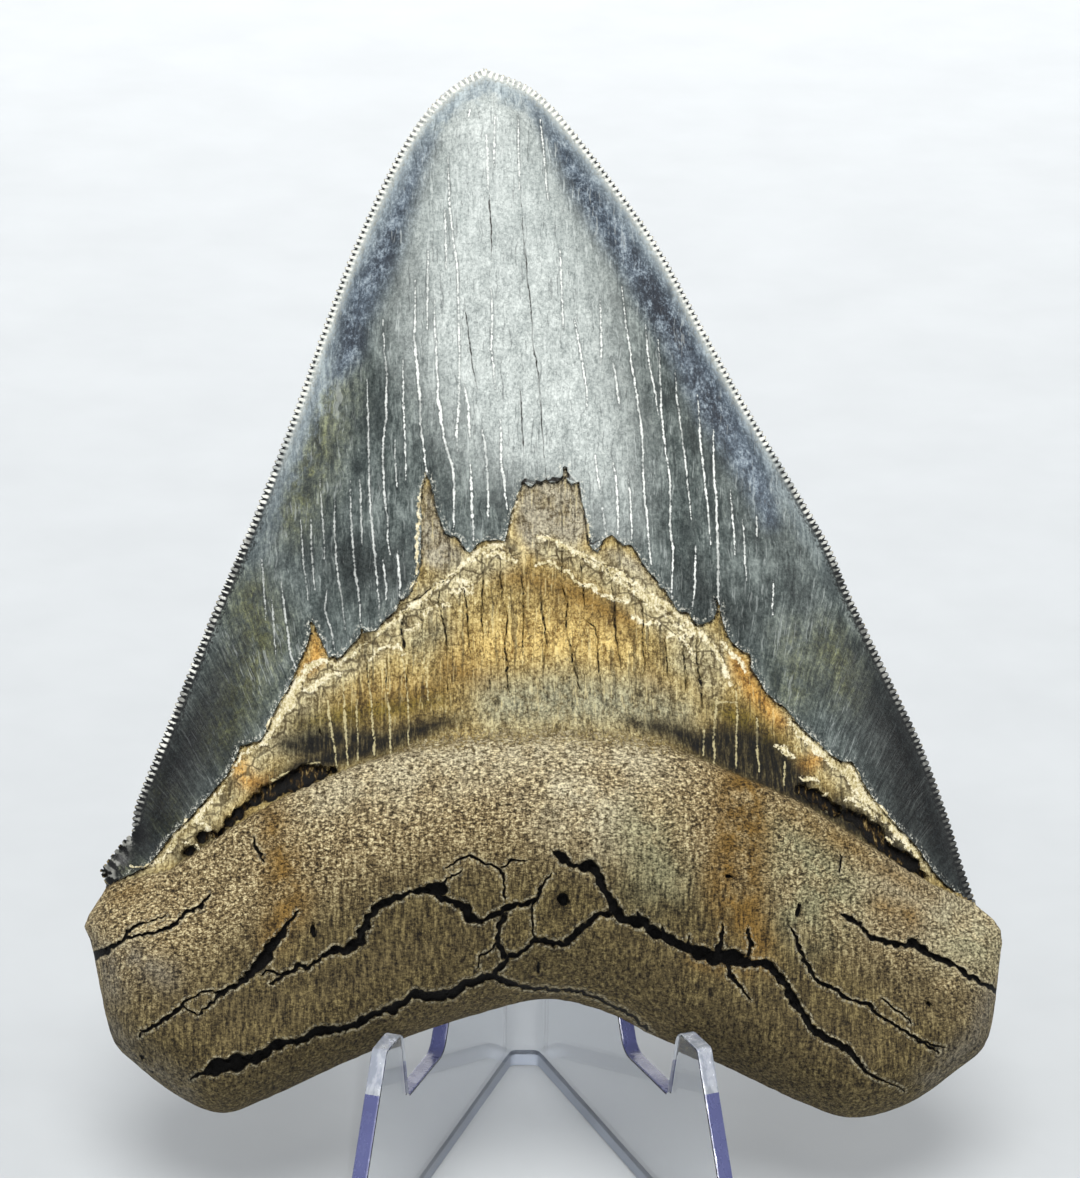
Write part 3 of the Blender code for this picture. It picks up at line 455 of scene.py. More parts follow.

# ---------------------------------------------------------------------------------------------
# Stains and painted light and shade: soft strokes, each with the width in millimetres over which it
# fades.
STAINS = {
    # The silver middle: partly the enamel's own colour, partly a painted sheen.
    "silver_and_sheen": (6.0, [
        [(484, 76, 50), (488, 115, 104), (495, 170, 140), (501, 240, 172), (508, 320, 206),
         (530, 385, 180), (572, 430, 112), (600, 470, 70), (616, 520, 24)],
    ]),
    # Blue-grey bands along the edges: partly their own colour, partly a painted dark reflection.
    "band": (1.7, [
        [(430, 142, 6), (418, 165, 16), (408, 190, 22), (397, 218, 26), (388, 245, 30),
         (377, 270, 32), (364, 295, 34), (353, 322, 30), (349, 350, 30), (338, 374, 16)],
        [(530, 104, 4), (545, 125, 12), (561, 150, 24), (584, 188, 34), (603, 218, 36),
         (627, 252, 36), (656, 300, 38), (677, 336, 38), (697, 372, 40), (713, 402, 44),
         (735, 440, 42), (757, 480, 34), (770, 520, 16)],
    ]),
    # Darker patches in the bands, likewise partly a painted dark reflection.
    "band_dark_patches": (2.0, [
        [(392, 232, 8), (386, 250, 12), (372, 282, 12)], [(350, 322, 14), (354, 348, 14)],
        [(578, 182, 8), (592, 205, 10)], [(622, 250, 14), (636, 266, 12)],
        [(644, 280, 22), (656, 302, 32), (670, 328, 32), (682, 346, 20)],
        [(695, 375, 16), (710, 402, 24), (722, 425, 12)],
    ]),
    "olive": (5.0, [
        [(250, 600, 20), (262, 640, 36), (240, 700, 30), (215, 740, 26)],
        [(334, 330, 6), (339, 380, 8), (328, 430, 14), (314, 470, 20), (296, 520, 14)],
        [(828, 640, 14), (838, 662, 22), (846, 690, 12)], [(792, 640, 6), (796, 690, 8)],
        [(160, 790, 16), (168, 815, 20)],
        [(118, 866, 8), (126, 872, 8)],
    ]),
    # Darker lower sides and feet of the enamel: partly their own colour, partly painted shade.
    "murk_and_shade": (6.0, [
        [(222, 670, 20), (190, 740, 84), (166, 790, 84), (140, 850, 50), (116, 876, 20)],
        [(868, 660, 20), (896, 730, 84), (922, 800, 100), (945, 850, 70), (964, 890, 40)],
        [(345, 560, 20), (392, 575, 24)],
        [(690, 585, 20), (735, 620, 24)],
    ]),
    "granular": (1.0, [
        [(427, 492, 8), (431, 520, 22), (434, 550, 36), (452, 562, 30), (472, 572, 12)],
        [(550, 492, 64), (552, 522, 74)],
        [(612, 556, 14), (630, 568, 22), (650, 588, 12)],
    ]),
    "golden": (3.5, [
        [(470, 650, 40), (540, 640, 56), (575, 630, 60), (610, 645, 46)],
        [(520, 548, 20), (585, 545, 14)],
        [(370, 700, 16), (400, 690, 22)],
    ]),
    "ochre": (2.6, [
        [(500, 574, 8), (535, 580, 18), (570, 592, 24), (605, 610, 24), (630, 620, 18)],
        [(450, 668, 20), (490, 682, 14)],
        [(345, 712, 22), (375, 708, 28), (410, 700, 24), (440, 690, 16)],
        [(650, 680, 14), (662, 690, 12)],
        [(722, 708, 20), (752, 724, 24), (775, 742, 16)],
    ]),
    "orange": (1.4, [
        [(316, 640, 8), (318, 655, 16), (308, 668, 10)],
        [(240, 768, 14), (250, 786, 16), (270, 782, 10)],
        [(738, 664, 16), (752, 690, 16), (768, 710, 14), (780, 722, 10)],
        [(805, 766, 14), (818, 758, 10)],
    ]),
    "cream": (1.5, [
        [(120, 882, 10), (150, 866, 12), (178, 846, 14), (212, 812, 16), (246, 775, 18),
         (272, 742, 22), (300, 700, 26), (330, 675, 28), (368, 650, 28), (405, 618, 30),
         (440, 592, 32), (475, 568, 30), (510, 552, 26)],
        [(545, 548, 18), (600, 568, 28), (640, 594, 34), (675, 622, 38), (705, 648, 30),
         (725, 672, 12)],
        [(690, 655, 20), (712, 690, 20), (716, 712, 8)],
        [(788, 718, 8), (815, 745, 20), (845, 775, 26), (875, 808, 26), (905, 842, 22),
         (930, 870, 12)],
    ]),
    "moss": (2.0, [
        [(716, 706, 18), (742, 722, 34), (772, 748, 24)],
        [(300, 724, 14), (345, 716, 26), (400, 708, 20), (440, 700, 12)],
    ]),
    # Dark olive to black just above the root's top at the sides.
    "dark_above_root": (1.5, [
        [(260, 792, 14), (300, 768, 24), (340, 754, 30), (380, 744, 30), (430, 727, 22),
         (462, 718, 8)],
        [(630, 722, 8), (668, 730, 22), (700, 744, 34), (735, 758, 42), (770, 772, 44),
         (800, 792, 34), (830, 812, 26), (870, 838, 24), (905, 862, 18)],
        [(716, 740, 34), (748, 748, 44), (780, 766, 38), (806, 786, 22)],
        [(838, 806, 26), (870, 828, 28), (908, 856, 22)],
        [(285, 744, 16), (310, 746, 34), (342, 738, 30), (376, 738, 22)],
        [(180, 858, 12), (225, 830, 14)],
    ]),
    "ashen": (3.0, [
        [(500, 705, 50), (560, 700, 60), (640, 705, 50), (680, 712, 30)],
        [(300, 710, 26), (318, 730, 26), (290, 745, 16)],
        [(685, 660, 24), (705, 665, 24)],
        [(420, 640, 20), (440, 630, 16)],
    ]),
    # Paler top of the root: partly its own colour, partly painted light from above.
    "root_pale_and_lit": (6.0, [
        [(320, 796, 16), (400, 770, 36),
         (480, 755, 40), (560, 752, 44), (640, 760, 40)],
        [(560, 790, 60), (600, 810, 60)],
        [(890, 885, 36), (930, 905, 44), (970, 930, 36)],
    ]),
    "root_ochre": (2.6, [
        [(268, 812, 22), (281, 860, 36), (288, 900, 38), (278, 936, 26)],
        [(745, 785, 56), (742, 830, 64), (735, 880, 60), (748, 930, 44), (768, 955, 24)],
        [(760, 797, 10), (804, 819, 14), (853, 849, 14), (895, 876, 14), (930, 895, 10)],
        [(700, 960, 10), (745, 968, 12)],
        [(910, 915, 26), (880, 905, 16)],
        [(115, 893, 10), (135, 888, 8)],
    ]),
    "root_green": (6.0, [
        [(770, 830, 24), (800, 860, 60), (830, 890, 56), (800, 920, 30)],
        [(640, 830, 30), (660, 870, 36)],
        [(960, 940, 24), (985, 950, 20)],
    ]),
    # Darker lower root: partly its own colour, partly painted shade from light above.
    "root_dark_and_shaded": (9.0, [
        [(160, 1010, 50), (230, 1010, 80), (320, 985, 70), (400, 955, 60), (460, 950, 50)],
        [(620, 960, 60), (680, 1000, 70), (760, 1040, 90), (850, 1070, 80)],
        [(180, 1075, 30), (300, 1065, 40), (400, 1020, 30), (540, 1000, 24)],
        [(890, 965, 30), (930, 990, 50), (960, 1010, 30)],
    ]),
    "root_grey": (3.0, [
        [(90, 940, 14), (106, 960, 24), (112, 990, 16)],
        [(100, 960, 18), (130, 955, 16), (165, 975, 12)],
        [(112, 1030, 16), (140, 1062, 18), (180, 1092, 16)],
        [(990, 1000, 16), (975, 1040, 16), (930, 1078, 16)],
    ]),
}

# ---------------------------------------------------------------------------------------------
# Spacing of the mesh points.
CURVE_SPACING = 1.5
# One serration from notch to notch: (share of the pitch, share of the notch's depth).
SERRATION_STEPS = ((0.0, 1.0), (0.22, 0.3), (0.5, 0.0), (0.78, 0.3))
STEPS_PER_SERRATION = 50
SHOULDER_STEPS = 4
EDGE_RINGS = (0.3, 0.7, 1.2)
RIM_RINGS = (0.05, 0.15, 0.32, 0.55, 0.85, 1.2, 1.6)
RIM_SPACING = 0.45
STROKE_SPACING = 0.32
VEIN_SPACING = 0.5
WALL_HALF = 0.06
WALL_ROWS = (WALL_HALF, -WALL_HALF)
FEATURE_OFFSETS = {
    "crack": WALL_ROWS, "pit": WALL_ROWS, "hole": WALL_ROWS, "split": (0.1,), "vein": (0.16,),
    "dark_vein_and_shade": (0.16,), "seam": (0.12,), "flake": (0.12,), "crust": (0.12,),
}
NARROWEST = 0.04
ROOT_SPACING = 0.39
BOURLETTE_SPACING = 0.4
ENAMEL_SPACING = 0.62
LABIAL_SPACING = 0.95
LABIAL_RIM_RINGS = (0.2, 0.7, 1.5)
LABIAL_RIM_SPACING = 0.9
CLOSEST = 0.05
# A row's point is left out where it comes nearer to an edge than this share of its depth.
CLEAR_SHARE = 0.93
# The grids keep this share of their spacing away from the rows.
GRID_CLEAR = 0.6
# How far outside a stroke its distance is still measured.
STROKE_FAR = 1.0
# The most numbers in one table of points by segments.
BATCH = 400000


def ramp(x, start, end):
    """0 before start, 1 after end, and a smooth rise between them."""
    t = np.clip((x - start) / (end - start), 0.0, 1.0)
    return t * t * (3.0 - 2.0 * t)


def equal_steps(line, spacing):
    """The same polyline, cut again into equal steps; columns past the first two go along."""
    steps = np.linalg.norm(np.diff(line[:, :2], axis=0), axis=1)
    length = np.concatenate([[0.0], np.cumsum(steps)])
    at = np.linspace(0.0, length[-1], max(2, round(length[-1] / spacing) + 1))
    return np.column_stack([np.interp(at, length, column) for column in line.T])


def smooth_curve(points, spacing):
    """A Catmull-Rom curve through the points, as a polyline of equal steps."""
    through = np.array(points, float)
    ends = np.vstack([2 * through[0] - through[1], through, 2 * through[-1] - through[-2]])
    t = np.linspace(0.0, 1.0, 16, endpoint=False)[:, None]
    spans = []
    for a, b, c, d in zip(ends, ends[1:], ends[2:], ends[3:]):
        square = (2 * a - 5 * b + 4 * c - d) * t**2
        cube = (3 * b - a - 3 * c + d) * t**3
        spans.append(0.5 * (2 * b + (c - a) * t + square + cube))
    return equal_steps(np.vstack([*spans, through[-1:]]), spacing)


def normals(line):
    """Unit vectors to the left of a polyline, one at each of its points."""
    along = np.gradient(line[:, :2], axis=0)
    along /= np.linalg.norm(along, axis=1)[:, None]
    return np.column_stack([-along[:, 1], along[:, 0]])


def in_batches(points, segments):
    """The points' indices, split so that a table of points by segments stays small."""
    return np.array_split(np.arange(len(points)), 1 + len(points) * segments // BATCH)


def nearest(points, line):
    """How far each point is from a polyline, and how far along it the nearest place is."""
    start, along = line[:-1], np.diff(line, axis=0)
    square = (along**2).sum(1)
    lengths = np.sqrt(square)
    before = np.cumsum(lengths) - lengths
    gaps, places = np.empty(len(points)), np.empty(len(points))
    for batch in in_batches(points, len(start)):
        x = points[batch, None, 0] - start[:, 0]
        y = points[batch, None, 1] - start[:, 1]
        t = np.clip((x * along[:, 0] + y * along[:, 1]) / square, 0.0, 1.0)
        gap = (x - t * along[:, 0]) ** 2 + (y - t * along[:, 1]) ** 2
        pick = gap.argmin(1)
        rows = np.arange(len(batch))
        gaps[batch] = np.sqrt(gap[rows, pick])
        places[batch] = before[pick] + t[rows, pick] * lengths[pick]
    return gaps, places


def distance(points, line):
    """How far each point is from a polyline."""
    return nearest(points, line)[0]


def inside(points, polygon):
    """Whether each point is inside a closed polygon."""
    x0, y0 = polygon.T
    x1, y1 = np.roll(polygon, -1, axis=0).T
    rise = np.where(y1 == y0, 1e-9, y1 - y0)
    found = np.empty(len(points), bool)
    for batch in in_batches(points, len(polygon)):
        x, y = points[batch, :1], points[batch, 1:]
        crosses = (y0 > y) != (y1 > y)
        found[batch] = (crosses & (x < x0 + (y - y0) * (x1 - x0) / rise)).sum(1) % 2 == 1
    return found


def reach(points, strokes, far=STROKE_FAR):
    """How far inside the nearest stroke each point is, down to -far outside, and its half width.

    A stroke is an array of (u, v, half width).
    """
    depth = np.full(len(points), -far)
    half = np.zeros(len(points))
    for stroke in strokes:
        margin = far + stroke[:, 2].max()
        low, high = stroke[:, :2].min(0) - margin, stroke[:, :2].max(0) + margin
        near = np.flatnonzero(((points > low) & (points < high)).all(1))
        start, along = stroke[:-1], np.diff(stroke, axis=0)
        square = (along[:, :2] ** 2).sum(1)
        for batch in in_batches(near, len(start)):
            some = near[batch]
            x = points[some, None, 0] - start[:, 0]
            y = points[some, None, 1] - start[:, 1]
            t = np.clip((x * along[:, 0] + y * along[:, 1]) / square, 0.0, 1.0)
            gap = np.hypot(x - t * along[:, 0], y - t * along[:, 1])
            width = start[:, 2] + t * along[:, 2]
            pick = (width - gap).argmax(1)
            rows = np.arange(len(some))
            found = (width - gap)[rows, pick]
            better = found > depth[some]
            depth[some[better]] = found[better]
            half[some[better]] = width[rows, pick][better]
    return depth, half


def wander(points, scale, seed):
    """Smooth noise of about -1 to 1 at each point of the face."""
    return np.array([noise.noise(Vector((u * scale, v * scale, seed))) for u, v in points[:, :2]])


LEFT_EDGE = smooth_curve(CROWN_LEFT, CURVE_SPACING)
RIGHT_EDGE = smooth_curve(CROWN_RIGHT, CURVE_SPACING)
SHOULDER = np.array(SHOULDER_LEFT)
RIM = smooth_curve(ROOT_RIM, CURVE_SPACING)


def blade(points):
    """Half the harmonic mean of the distances to both cutting edges, 0 on either of them."""
    left, right = distance(points, LEFT_EDGE), distance(points, RIGHT_EDGE)
    return left * right / (left + right + 1e-9)


def rim_round(points, radius):
    """Quarter-circle rise from 0 on the root's rim to 1 a radius inside it."""
    t = np.clip(distance(points, RIM) / radius, 0.0, 1.0)
    return np.sqrt(1.0 - (1.0 - t) ** 2)


def below(points, line):
    """How far below a line that runs from left to right each point is."""
    return np.interp(points[:, 0], *np.array(line).T) - points[:, 1]


def lingual_form(points, relief=0.0):
    """Height of the viewer's face over the outline, with the relief that its features add."""
    across = points[:, 0]
    mid = blade(points)
    under = below(points, ROOT_TOP)
    depth = LINGUAL_SLOPE * mid / (1.0 + mid / LINGUAL_FLATTEN)
    middle = np.exp(-((across / (0.5 * ROOT_BULGE_WIDTH)) ** 2))
    bulge = np.exp(-((across / ROOT_BULGE_WIDTH) ** 2)) * ramp(under, *BULGE_RISE)
    depth += ROOT_BULGE * bulge * (1.0 - ramp(under, *BULGE_FALL))
    ledge = ROOT_LEDGE * (1.0 - middle) + ROOT_LEDGE_MIDDLE * middle
    depth += ledge * ramp(under, *LEDGE_RISE)
    return EDGE_THICKNESS / 2 + (depth + relief) * rim_round(points, LINGUAL_RIM_RADIUS)


def labial_form(points, relief=0.0):
    """Depth of the back face, which is nearly flat, below the outline."""
    mid = blade(points)
    under = below(points, LABIAL_ROOT_TOP)
    depth = LABIAL_SLOPE * mid / (1.0 + mid / LABIAL_FLATTEN)
    depth += LABIAL_ROOT_DEPTH * ramp(under, *LABIAL_ROOT_RISE)
    return -EDGE_THICKNESS / 2 - (depth + relief) * rim_round(points, LABIAL_RIM_RADIUS)


FACE_AXES = np.array([
    (1.0, 0.0, 0.0),
    (0.0, math.sin(LEAN), math.cos(LEAN)),
    (0.0, -math.cos(LEAN), math.sin(LEAN)),
])


def in_world(flat, depth):
    """Face frame to world, in metres."""
    return MM * (np.array(TOOTH_FOOT) + np.column_stack([flat, depth]) @ FACE_AXES)


def camera_matrix():
    """The camera's pose in the world, in metres."""
    turn = Euler([math.radians(angle) for angle in (CAMERA_TURN[0], 0.0, CAMERA_TURN[1])])
    roll = Matrix.Rotation(math.radians(CAMERA_TURN[2]), 4, "Z")
    return Matrix.Translation(MM * Vector(CAMERA_PLACE)) @ turn.to_matrix().to_4x4() @ roll


def on_tooth(pixels):
    """Where the camera's rays through these pixels meet the viewer's face, in its frame."""
    pixels = np.array(pixels, float)
    right, up, back = np.array(camera_matrix())[:3, :3].T
    x = (pixels[:, :1] - PICTURE[0] / 2) / FOCAL_PIXELS
    y = (PICTURE[1] / 2 - pixels[:, 1:]) / FOCAL_PIXELS
    rays = (x * right + y * up - back) @ FACE_AXES.T
    eye = (np.array(CAMERA_PLACE) - TOOTH_FOOT) @ FACE_AXES.T
    depth = np.full(len(pixels), GUESSED_DEPTH)
    for _ in range(RAY_ROUNDS):
        t = (depth - eye[2]) / rays[:, 2]
        flat = eye[:2] + t[:, None] * rays[:, :2]
        depth = 0.5 * depth + 0.5 * lingual_form(flat)
    return flat


def stroke(route, spacing, jag=0.0, seed=0.0):
    """A route of (x, y, width) pixels as (u, v, half width) on the face, made ragged by jag."""
    route = np.array(route, float)
    flat = on_tooth(route[:, :2])
    line = equal_steps(np.column_stack([flat, 0.5 * PIXEL_ON_TOOTH * route[:, 2]]), spacing)
    if jag:
        side = normals(line)
        push = wander(line, 1.3, seed) + 0.8 * wander(line, 3.4, seed + 2.0)
        push += wander(line, 0.35, seed + 9.0)
        loose = 0.4 + 0.6 * np.minimum(1.0, line[:, 2] / FULLY_LOOSE)
        line[:, :2] += side * (jag * push * loose)[:, None]
        swell = 1.0 + 0.6 * wander(line, 1.7, seed + 5.0)
        line[:, 2] *= swell + 0.9 * wander(line, 4.3, seed + 7.0)
    return line


def strokes(routes, spacing, jag=0.0):
    """The strokes of several routes, each with a seed of its own."""
    return [stroke(route, spacing, jag, 10.0 + k) for k, route in enumerate(routes)]


def hollows(route, seed):
    """A row of short lens-shaped hollows along a route, with thin ribs between them."""
    line = stroke(route, 0.18, 0.15, seed)
    steps = np.linalg.norm(np.diff(line[:, :2], axis=0), axis=1)
    along = np.concatenate([[0.0], np.cumsum(steps)])
    row, start = [], 0.0
    while start < along[-1]:
        long = HOLLOW_LENGTH + HOLLOW_VARIES * noise.noise(Vector((2.3 * start, seed, 3.3)))
        part = line[(along >= start) & (along <= start + long)].copy()
        if len(part) > 3:
            part[:, 2] *= 1.1 * np.sin(np.linspace(0.02, 0.98, len(part)) * math.pi) ** 0.5
            row.append(part)
        start += long + HOLLOW_RIB
    return row


def thinned(parts, share, taper=0.0):
    """The strokes with this share of their width, fading out towards both ends by taper."""
    for part in parts:
        place = np.linspace(0.0, 1.0, len(part))
        part[:, 2] *= share
        part[:, 2] -= taper * (1.0 - ramp(np.minimum(place, 1.0 - place), 0.0, 0.25))
    return parts


def make_lines():
    """Every stroke of the viewer's face, laid on it."""
    lines = {
        "crack": strokes(ROOT_CRACKS, STROKE_SPACING, 0.42),
        "pit": strokes(ROOT_PITS, STROKE_SPACING, 0.1),
        "hole": [hollow for k, route in enumerate(UNDERCUTS) for hollow in hollows(route, 5.0 * k)],
        "split": thinned(strokes(BOURLETTE_CRACKS, VEIN_SPACING, 0.26), 0.55, 0.06),
        "seam": thinned(strokes(PALE_SEAMS, VEIN_SPACING, 0.16), 0.6),
        "flake": thinned(strokes(CHEVRONS, VEIN_SPACING, 0.35), 0.95),
        "crust": thinned(strokes(EDGE_CRUST, VEIN_SPACING, 0.42), 0.78, 0.08),
        "vein": thinned(strokes(WHITE_VEINS, VEIN_SPACING, 0.12), 0.64, 0.06),
        "dark_vein_and_shade": thinned(strokes(DARK_VEINS_AND_EDGE_SHADE, VEIN_SPACING, 0.16), 0.7, 0.08),
    }
    edge = equal_steps(on_tooth(ENAMEL_BREAK), 0.3)
    edge += normals(edge) * (0.09 * wander(edge, 2.4, 3.0))[:, None]
    lines["enamel"] = edge
    return lines


# ---------------------------------------------------------------------------------------------
# Mesh points.
def serrated(line):
    """The cutting edge with a notch at each pitch, its smooth line, and the sides it faces."""
    length = np.linalg.norm(np.diff(line, axis=0), axis=1).sum()
    count = round(length / SERRATION_PITCH)
    fine = equal_steps(line, length / (STEPS_PER_SERRATION * count))
    side = normals(fine)
    points, base, sides = [], [], []
    for tooth in range(count):
        for part, press in SERRATION_STEPS:
            at = round(STEPS_PER_SERRATION * (tooth + part))
            if at == 0:
                press = 0.0
            depth = SERRATION_DEPTH * np.interp(fine[at][1], *WORN_TIP)
            points.append(fine[at] - press * depth * side[at])
            base.append(fine[at])
            sides.append(side[at])
    return np.array(points), np.array(base), np.array(sides)


def tooth_outline():
    """The closed outline, clockwise from the left shoulder over the tip, with outward sides."""
    rim = equal_steps(RIM, RIM_SPACING)[::-1]
    rim_out = normals(rim)
    rim -= rim_out * (RIM_PRESS + RIM_RAGGED * wander(rim, 1.1, 7.0))[:, None]
    shoulder = equal_steps(SHOULDER, SERRATION_PITCH / SHOULDER_STEPS)
    shoulder_out = normals(shoulder)
    notch = np.where(np.arange(len(shoulder)) % SHOULDER_STEPS == 0, 1.0, 0.0)
    notch[[0, -1]] = 0.0
    shoulder = shoulder - shoulder_out * (0.8 * SERRATION_DEPTH * notch)[:, None]
    left, _, left_out = serrated(LEFT_EDGE)
    right, _, right_out = serrated(RIGHT_EDGE)
    outline = np.vstack([shoulder, left[1:], right, rim[:-1]])
    outward = np.vstack([shoulder_out, left_out[1:], right_out, rim_out[:-1]])
    return outline, outward


def edge_rows(rings, thin):
    """Rows of points inside both cutting edges, one behind each point of the serrations."""
    rows = []
    for edge in (LEFT_EDGE, RIGHT_EDGE):
        _, base, side = serrated(edge)
        for depth in rings:
            row = (base - depth * side)[::thin]
            clear = np.minimum(distance(row, LEFT_EDGE), distance(row, RIGHT_EDGE))
            rows.append(row[clear > CLEAR_SHARE * depth])
    return rows


def rim_rows(rings, spacing):
    """Rows of points inside the root's rim."""
    line = equal_steps(RIM, spacing)
    side = normals(line)
    rows = []
    for depth in rings:
        row = line + depth * side
        rows.append(row[distance(row, RIM) > CLEAR_SHARE * depth])
    return rows


def stroke_rows(line, offsets):
    """Rows along a stroke: its middle, and rows at these distances outside its borders."""
    side = normals(line)
    rows = [line[:, :2]]
    for offset in offsets:
        out = np.maximum(line[:, 2] + offset, NARROWEST)[:, None]
        rows += [line[:, :2] + out * side, line[:, :2] - out * side]
    return rows


def feature_rows(lines):
    """Rows along both sides of each wall, and along the borders of what has none."""
    edge = lines["enamel"]
    side = WALL_HALF * normals(edge)
    rows = [edge + side, edge - side]
    for name, offsets in FEATURE_OFFSETS.items():
        for line in lines[name]:
            rows += stroke_rows(line, offsets)
    return rows


def spread(parts, closest):
    """The points of all parts, leaving out any that is too near an earlier one."""
    cells = {}
    kept = []
    for u, v in np.vstack(parts).tolist():
        column, row = math.floor(u / closest), math.floor(v / closest)
        around = [cells.get((column + i, row + j), ()) for i in (-1, 0, 1) for j in (-1, 0, 1)]
        if any((u - x) ** 2 + (v - y) ** 2 < closest**2 for cell in around for x, y in cell):
            continue
        cells.setdefault((column, row), []).append((u, v))
        kept.append((u, v))
    return np.array(kept)


def hex_grid(low, high, spacing):
    """Staggered rows of points."""
    rise = spacing * math.sqrt(0.75)
    across = np.arange(low[0], high[0], spacing)
    up = np.arange(low[1], high[1], rise)
    grid = np.stack(np.meshgrid(across, up), -1)
    grid[1::2, :, 0] += 0.5 * spacing
    return grid.reshape(-1, 2)


def fill(fixed, outline, spacing, wanted=None):
    """A staggered grid over the wanted places, or all, that are clear of the fixed points."""
    grid = hex_grid(outline.min(0), outline.max(0), spacing)
    if wanted:
        grid = grid[wanted(grid)]
    grid = grid[inside(grid, outline)]
    tree = kdtree.KDTree(len(fixed))
    for k, (u, v) in enumerate(fixed.tolist()):
        tree.insert((u, v, 0.0), k)
    tree.balance()
    clear = [tree.find((u, v, 0.0))[2] > GRID_CLEAR * spacing for u, v in grid.tolist()]
    return grid[clear]


def triangulated(outline, points):
    """Triangles over the outline: points, faces, and which point is each outline point."""
    every = [Vector(point) for point in np.vstack([outline, points]).tolist()]
    ring = [list(range(len(outline)))]
    flat, _, faces, origins, _, _ = delaunay_2d_cdt(every, [], ring, 1, 1e-5)
    flat = np.array([tuple(point) for point in flat])
    on_outline = {at: k for k, origin in enumerate(origins) for at in origin if at < len(outline)}
    return flat, faces, [on_outline[at] for at in range(len(outline))]


def clear_inside(points, outline, gap):
    """The points that are inside the outline and this far from it."""
    points = points[inside(points, outline)]
    return points[distance(points, np.vstack([outline, outline[:1]])) > gap]


def lingual_mesh(outline, lines):
    """The viewer's face: rows along edges and features, and a grid for each kind of surface."""
    rows = [*edge_rows(EDGE_RINGS, 1), *edge_rows((2.0,), 2), *rim_rows(RIM_RINGS, RIM_SPACING)]
    rows += feature_rows(lines)
    fixed = spread([clear_inside(np.vstack(rows), outline, 0.04)], CLOSEST)
    enamel = np.vstack([LEFT_EDGE, RIGHT_EDGE[1:], lines["enamel"][::-1]])
    regions = [
        (ENAMEL_SPACING, lambda grid: inside(grid, enamel)),
        (BOURLETTE_SPACING, lambda grid: ~inside(grid, enamel) & (below(grid, ROOT_TOP) < 0.0)),
        (ROOT_SPACING, lambda grid: ~inside(grid, enamel) & (below(grid, ROOT_TOP) >= 0.0)),
    ]
    border = np.vstack([fixed, outline])
    grids = [fill(border, outline, spacing, wanted) for spacing, wanted in regions]
    return triangulated(outline, np.vstack([fixed, *grids]))


def labial_mesh(outline, lines):
    """The back face, which is coarser."""
    rows = [*edge_rows((0.5,), 2), *edge_rows((1.3,), 4)]
    rows += rim_rows(LABIAL_RIM_RINGS, LABIAL_RIM_SPACING)
    for line in lines["back_crack"]:
        rows += stroke_rows(line, WALL_ROWS)
    for height in (-WALL_HALF, WALL_HALF):
        rows.append(lines["back_enamel"] + (0.0, height))
    fixed = spread([clear_inside(np.vstack(rows), outline, 0.1)], CLOSEST)
    grid = fill(np.vstack([fixed, outline]), outline, LABIAL_SPACING)
    return triangulated(outline, np.vstack([fixed, grid]))


# ---------------------------------------------------------------------------------------------
# What each point of a face is, and how that lifts it.
def step(depth):
    """0 outside a feature's border, 1 inside it, over the width of its wall."""
    return np.clip((depth + WALL_HALF) / (2 * WALL_HALF), 0.0, 1.0)


def ripples(flat, across, along, seed):
    """Noise with its own scale across and along the tooth."""
    places = (flat * (across, along)).tolist()
    return np.array([noise.noise(Vector((u, v, seed))) for u, v in places])


def rippled(flat, kind):
    """The ripples of one kind of surface."""
    return sum(
        height * ripples(flat, across, along, seed) for height, across, along, seed in RIPPLES[kind]
    )


def edge_layers(flat):
    """Distance from the cutting edges, and how deep in a notch between serrations it is."""
    gaps, notches = [], []
    for line, pitch in (
        (LEFT_EDGE, SERRATION_PITCH), (RIGHT_EDGE, SERRATION_PITCH), (SHOULDER, SHOULDER_PITCH)
    ):
        gap, place = nearest(flat, line)
        length = np.linalg.norm(np.diff(line, axis=0), axis=1).sum()
        turn = place * round(length / pitch) / length % 1.0
        gaps.append(gap * SERRATION_PITCH / pitch)
        notches.append(1.0 - 2.0 * np.minimum(turn, 1.0 - turn))
    nearest_edge = np.argmin(gaps, axis=0)
    pick = np.arange(len(flat))
    return np.array(gaps)[nearest_edge, pick], np.array(notches)[nearest_edge, pick]


def fibre_place(flat):
    """Coordinates that run along the enamel's fibres, which lean outwards low on both sides."""
    u, v = flat.T
    low = np.maximum(0.0, FIBRES_LEAN_BELOW - v)
    lean = np.sign(u) * ramp(np.abs(u), *FIBRES_LEAN_FROM) * low**2 / (low + 40.0)
    return np.column_stack([u + 1.5 * lean, v])


def lingual_layers(flat, lines):
    """Distances inside each kind of feature, in millimetres, and stains from 0 to 1."""
    layers = {}
    for name in ("crack", "pit", "hole", "split", "seam", "flake", "crust", "vein", "dark_vein_and_shade"):
        layers[name], layers[name + "_half"] = reach(flat, lines[name])
    edge = lines["enamel"]
    gap, _ = reach(flat, [np.column_stack([edge, np.zeros(len(edge))])], 6.0)
    area = np.vstack([SHOULDER[:-1], LEFT_EDGE, RIGHT_EDGE[1:], edge[::-1]])
    layers["enamel"] = np.where(inside(flat, area), -gap, gap)
    layers["root"] = np.clip(below(flat, ROOT_TOP), -8.0, 40.0)
    layers["edge"], layers["notch"] = edge_layers(flat)
    for name, (fade, routes) in STAINS.items():
        soft = [stroke(route, CURVE_SPACING) for route in routes]
        layers[name] = ramp(reach(flat, soft, fade)[0], -fade, fade)
    return layers


